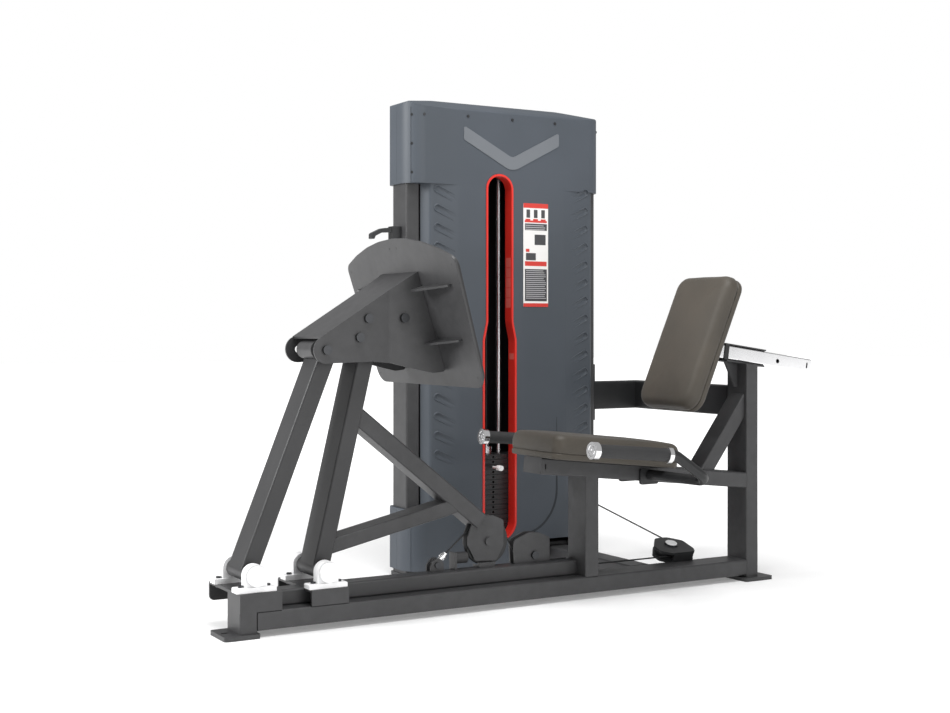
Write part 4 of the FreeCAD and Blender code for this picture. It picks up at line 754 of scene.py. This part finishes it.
def cover_screws():
    """Small dark screw heads down the cover's left joint and near its right edge."""
    low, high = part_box("front_shroud")
    places = [(low.x + inset, -1, depth, z) for inset, depth, z in LEFT_SCREWS]
    places += [(high.x - inset, 1, depth, z) for inset, depth, z in RIGHT_SCREWS]
    mesh = bmesh.new()
    for x, sideways, depth, z in places:
        turn = SWEPT_TURN if depth > SWEPT_DEPTH else FLAT_TURN
        facing = Vector((sideways * turn, -1, 0)).normalized()
        disc(mesh, Vector((x, low.y + depth, z)), facing, SCREW_R, SCREW_THICK, SCREW_AROUND)
    new_piece("cover_screws", mesh, "frame", "zinc")


def cover_crease():
    """Dark band of painted shade along the shallow crease that rounds the raised front panel's
    lower right corner.
    """
    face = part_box("front_shroud")[0].y - CREASE_PROUD
    centre = Vector((CREASE_RIGHT - CREASE_R, 0, CREASE_BOTTOM + CREASE_R))
    path = [Vector((CREASE_RIGHT, 0, height)) for height in CREASE_TOP]
    for step in range(CREASE_STEPS + 1):
        angle = math.radians(-90 * step / CREASE_STEPS)
        path.append(centre + CREASE_R * Vector((math.cos(angle), 0, math.sin(angle))))
    mesh = bmesh.new()
    rows = []
    for place, point in enumerate(path):
        ahead = heading(path, place)
        across = Vector((ahead.z, 0, -ahead.x)).normalized()
        size = CREASE_HALF * tapered(path, place, CREASE_TAPER)
        rows.append([mesh.verts.new(Vector((0, face + deep, 0)) + point + across * size * side)
                     for side, deep in ((-1, 0), (1, 0), (1, CREASE_DEEP), (-1, CREASE_DEEP))])
    skin_rows(mesh, rows)
    # the crease band is drawn in the darker crease material: painted shade
    new_piece("cover_crease", mesh, "frame", "cover_plastic", "crease_shade")


instruction_panel_print()
trim_marks()
slot_shade_sheet()
swivel_cap()
louvre_lips()
cover_screws()
cover_crease()


# ------------------------------------------------------------------ floor, light and camera
def make_floor():
    """Pale floor that glows more the farther it is from the machine."""
    mesh = bpy.data.meshes.new("floor")
    half = FLOOR_HALF
    mesh.from_pydata([(-half, -half, 0), (half, -half, 0), (half, half, 0), (-half, half, 0)], [],
                     [(0, 1, 2, 3)])
    floor = bpy.data.objects.new("floor", mesh)
    bpy.context.scene.collection.objects.link(floor)
    material, tree, shader = shader_graph("floor_paper", 0.85)
    tone = two_tones(tree, object_noise(tree, 2, 2), *FLOOR_TONES)
    tree.links.new(tone, shader.inputs["Base Color"])
    shader.inputs["Specular IOR Level"].default_value = 0.1
    shader.inputs["Emission Color"].default_value = (1, 1, 1, 1)
    place = tree.nodes.new("ShaderNodeNewGeometry")
    away = tree.nodes.new("ShaderNodeVectorMath")
    away.operation = "LENGTH"
    glow = add_node(tree, "ShaderNodeMapRange", FLOOR_GLOW)
    tree.links.new(place.outputs["Position"], away.inputs[0])
    tree.links.new(away.outputs["Value"], glow.inputs["Value"])
    tree.links.new(glow.outputs["Result"], shader.inputs["Emission Strength"])
    mesh.materials.append(material)


def make_world():
    """White backdrop to the camera, and a weaker light to the object."""
    world = bpy.data.worlds.new("studio")
    bpy.context.scene.world = world
    world.use_nodes = True
    tree = world.node_tree
    background = tree.nodes["Background"]
    background.inputs["Color"].default_value = (1, 1, 1, 1)
    sight = tree.nodes.new("ShaderNodeLightPath")
    strength = add_node(tree, "ShaderNodeMapRange", WORLD_LIGHT)
    tree.links.new(sight.outputs["Is Camera Ray"], strength.inputs["Value"])
    tree.links.new(strength.outputs["Result"], background.inputs["Strength"])
    bpy.context.scene.view_settings.view_transform = "Standard"


def make_lights():
    for name, place, size, power in LIGHTS:
        light = bpy.data.lights.new(name, "AREA")
        light.energy = power
        light.size = size
        lamp = bpy.data.objects.new(name, light)
        lamp.location = place
        towards = Vector(AIM) - Vector(place)
        lamp.rotation_euler = towards.to_track_quat("-Z", "Y").to_euler()
        bpy.context.scene.collection.objects.link(lamp)


def make_camera():
    """Level camera with lens shift, so that upright edges stay upright."""
    camera = bpy.data.cameras.new("camera")
    camera.sensor_width = SENSOR
    camera.lens = LENS
    camera.shift_x, camera.shift_y = SHIFT
    eye = bpy.data.objects.new("camera", camera)
    eye.location = EYE
    eye.rotation_euler = (math.radians(90), 0, math.radians(EYE_YAW_DEG))
    bpy.context.scene.collection.objects.link(eye)
    bpy.context.scene.camera = eye


make_floor()
make_world()
make_lights()
make_camera()
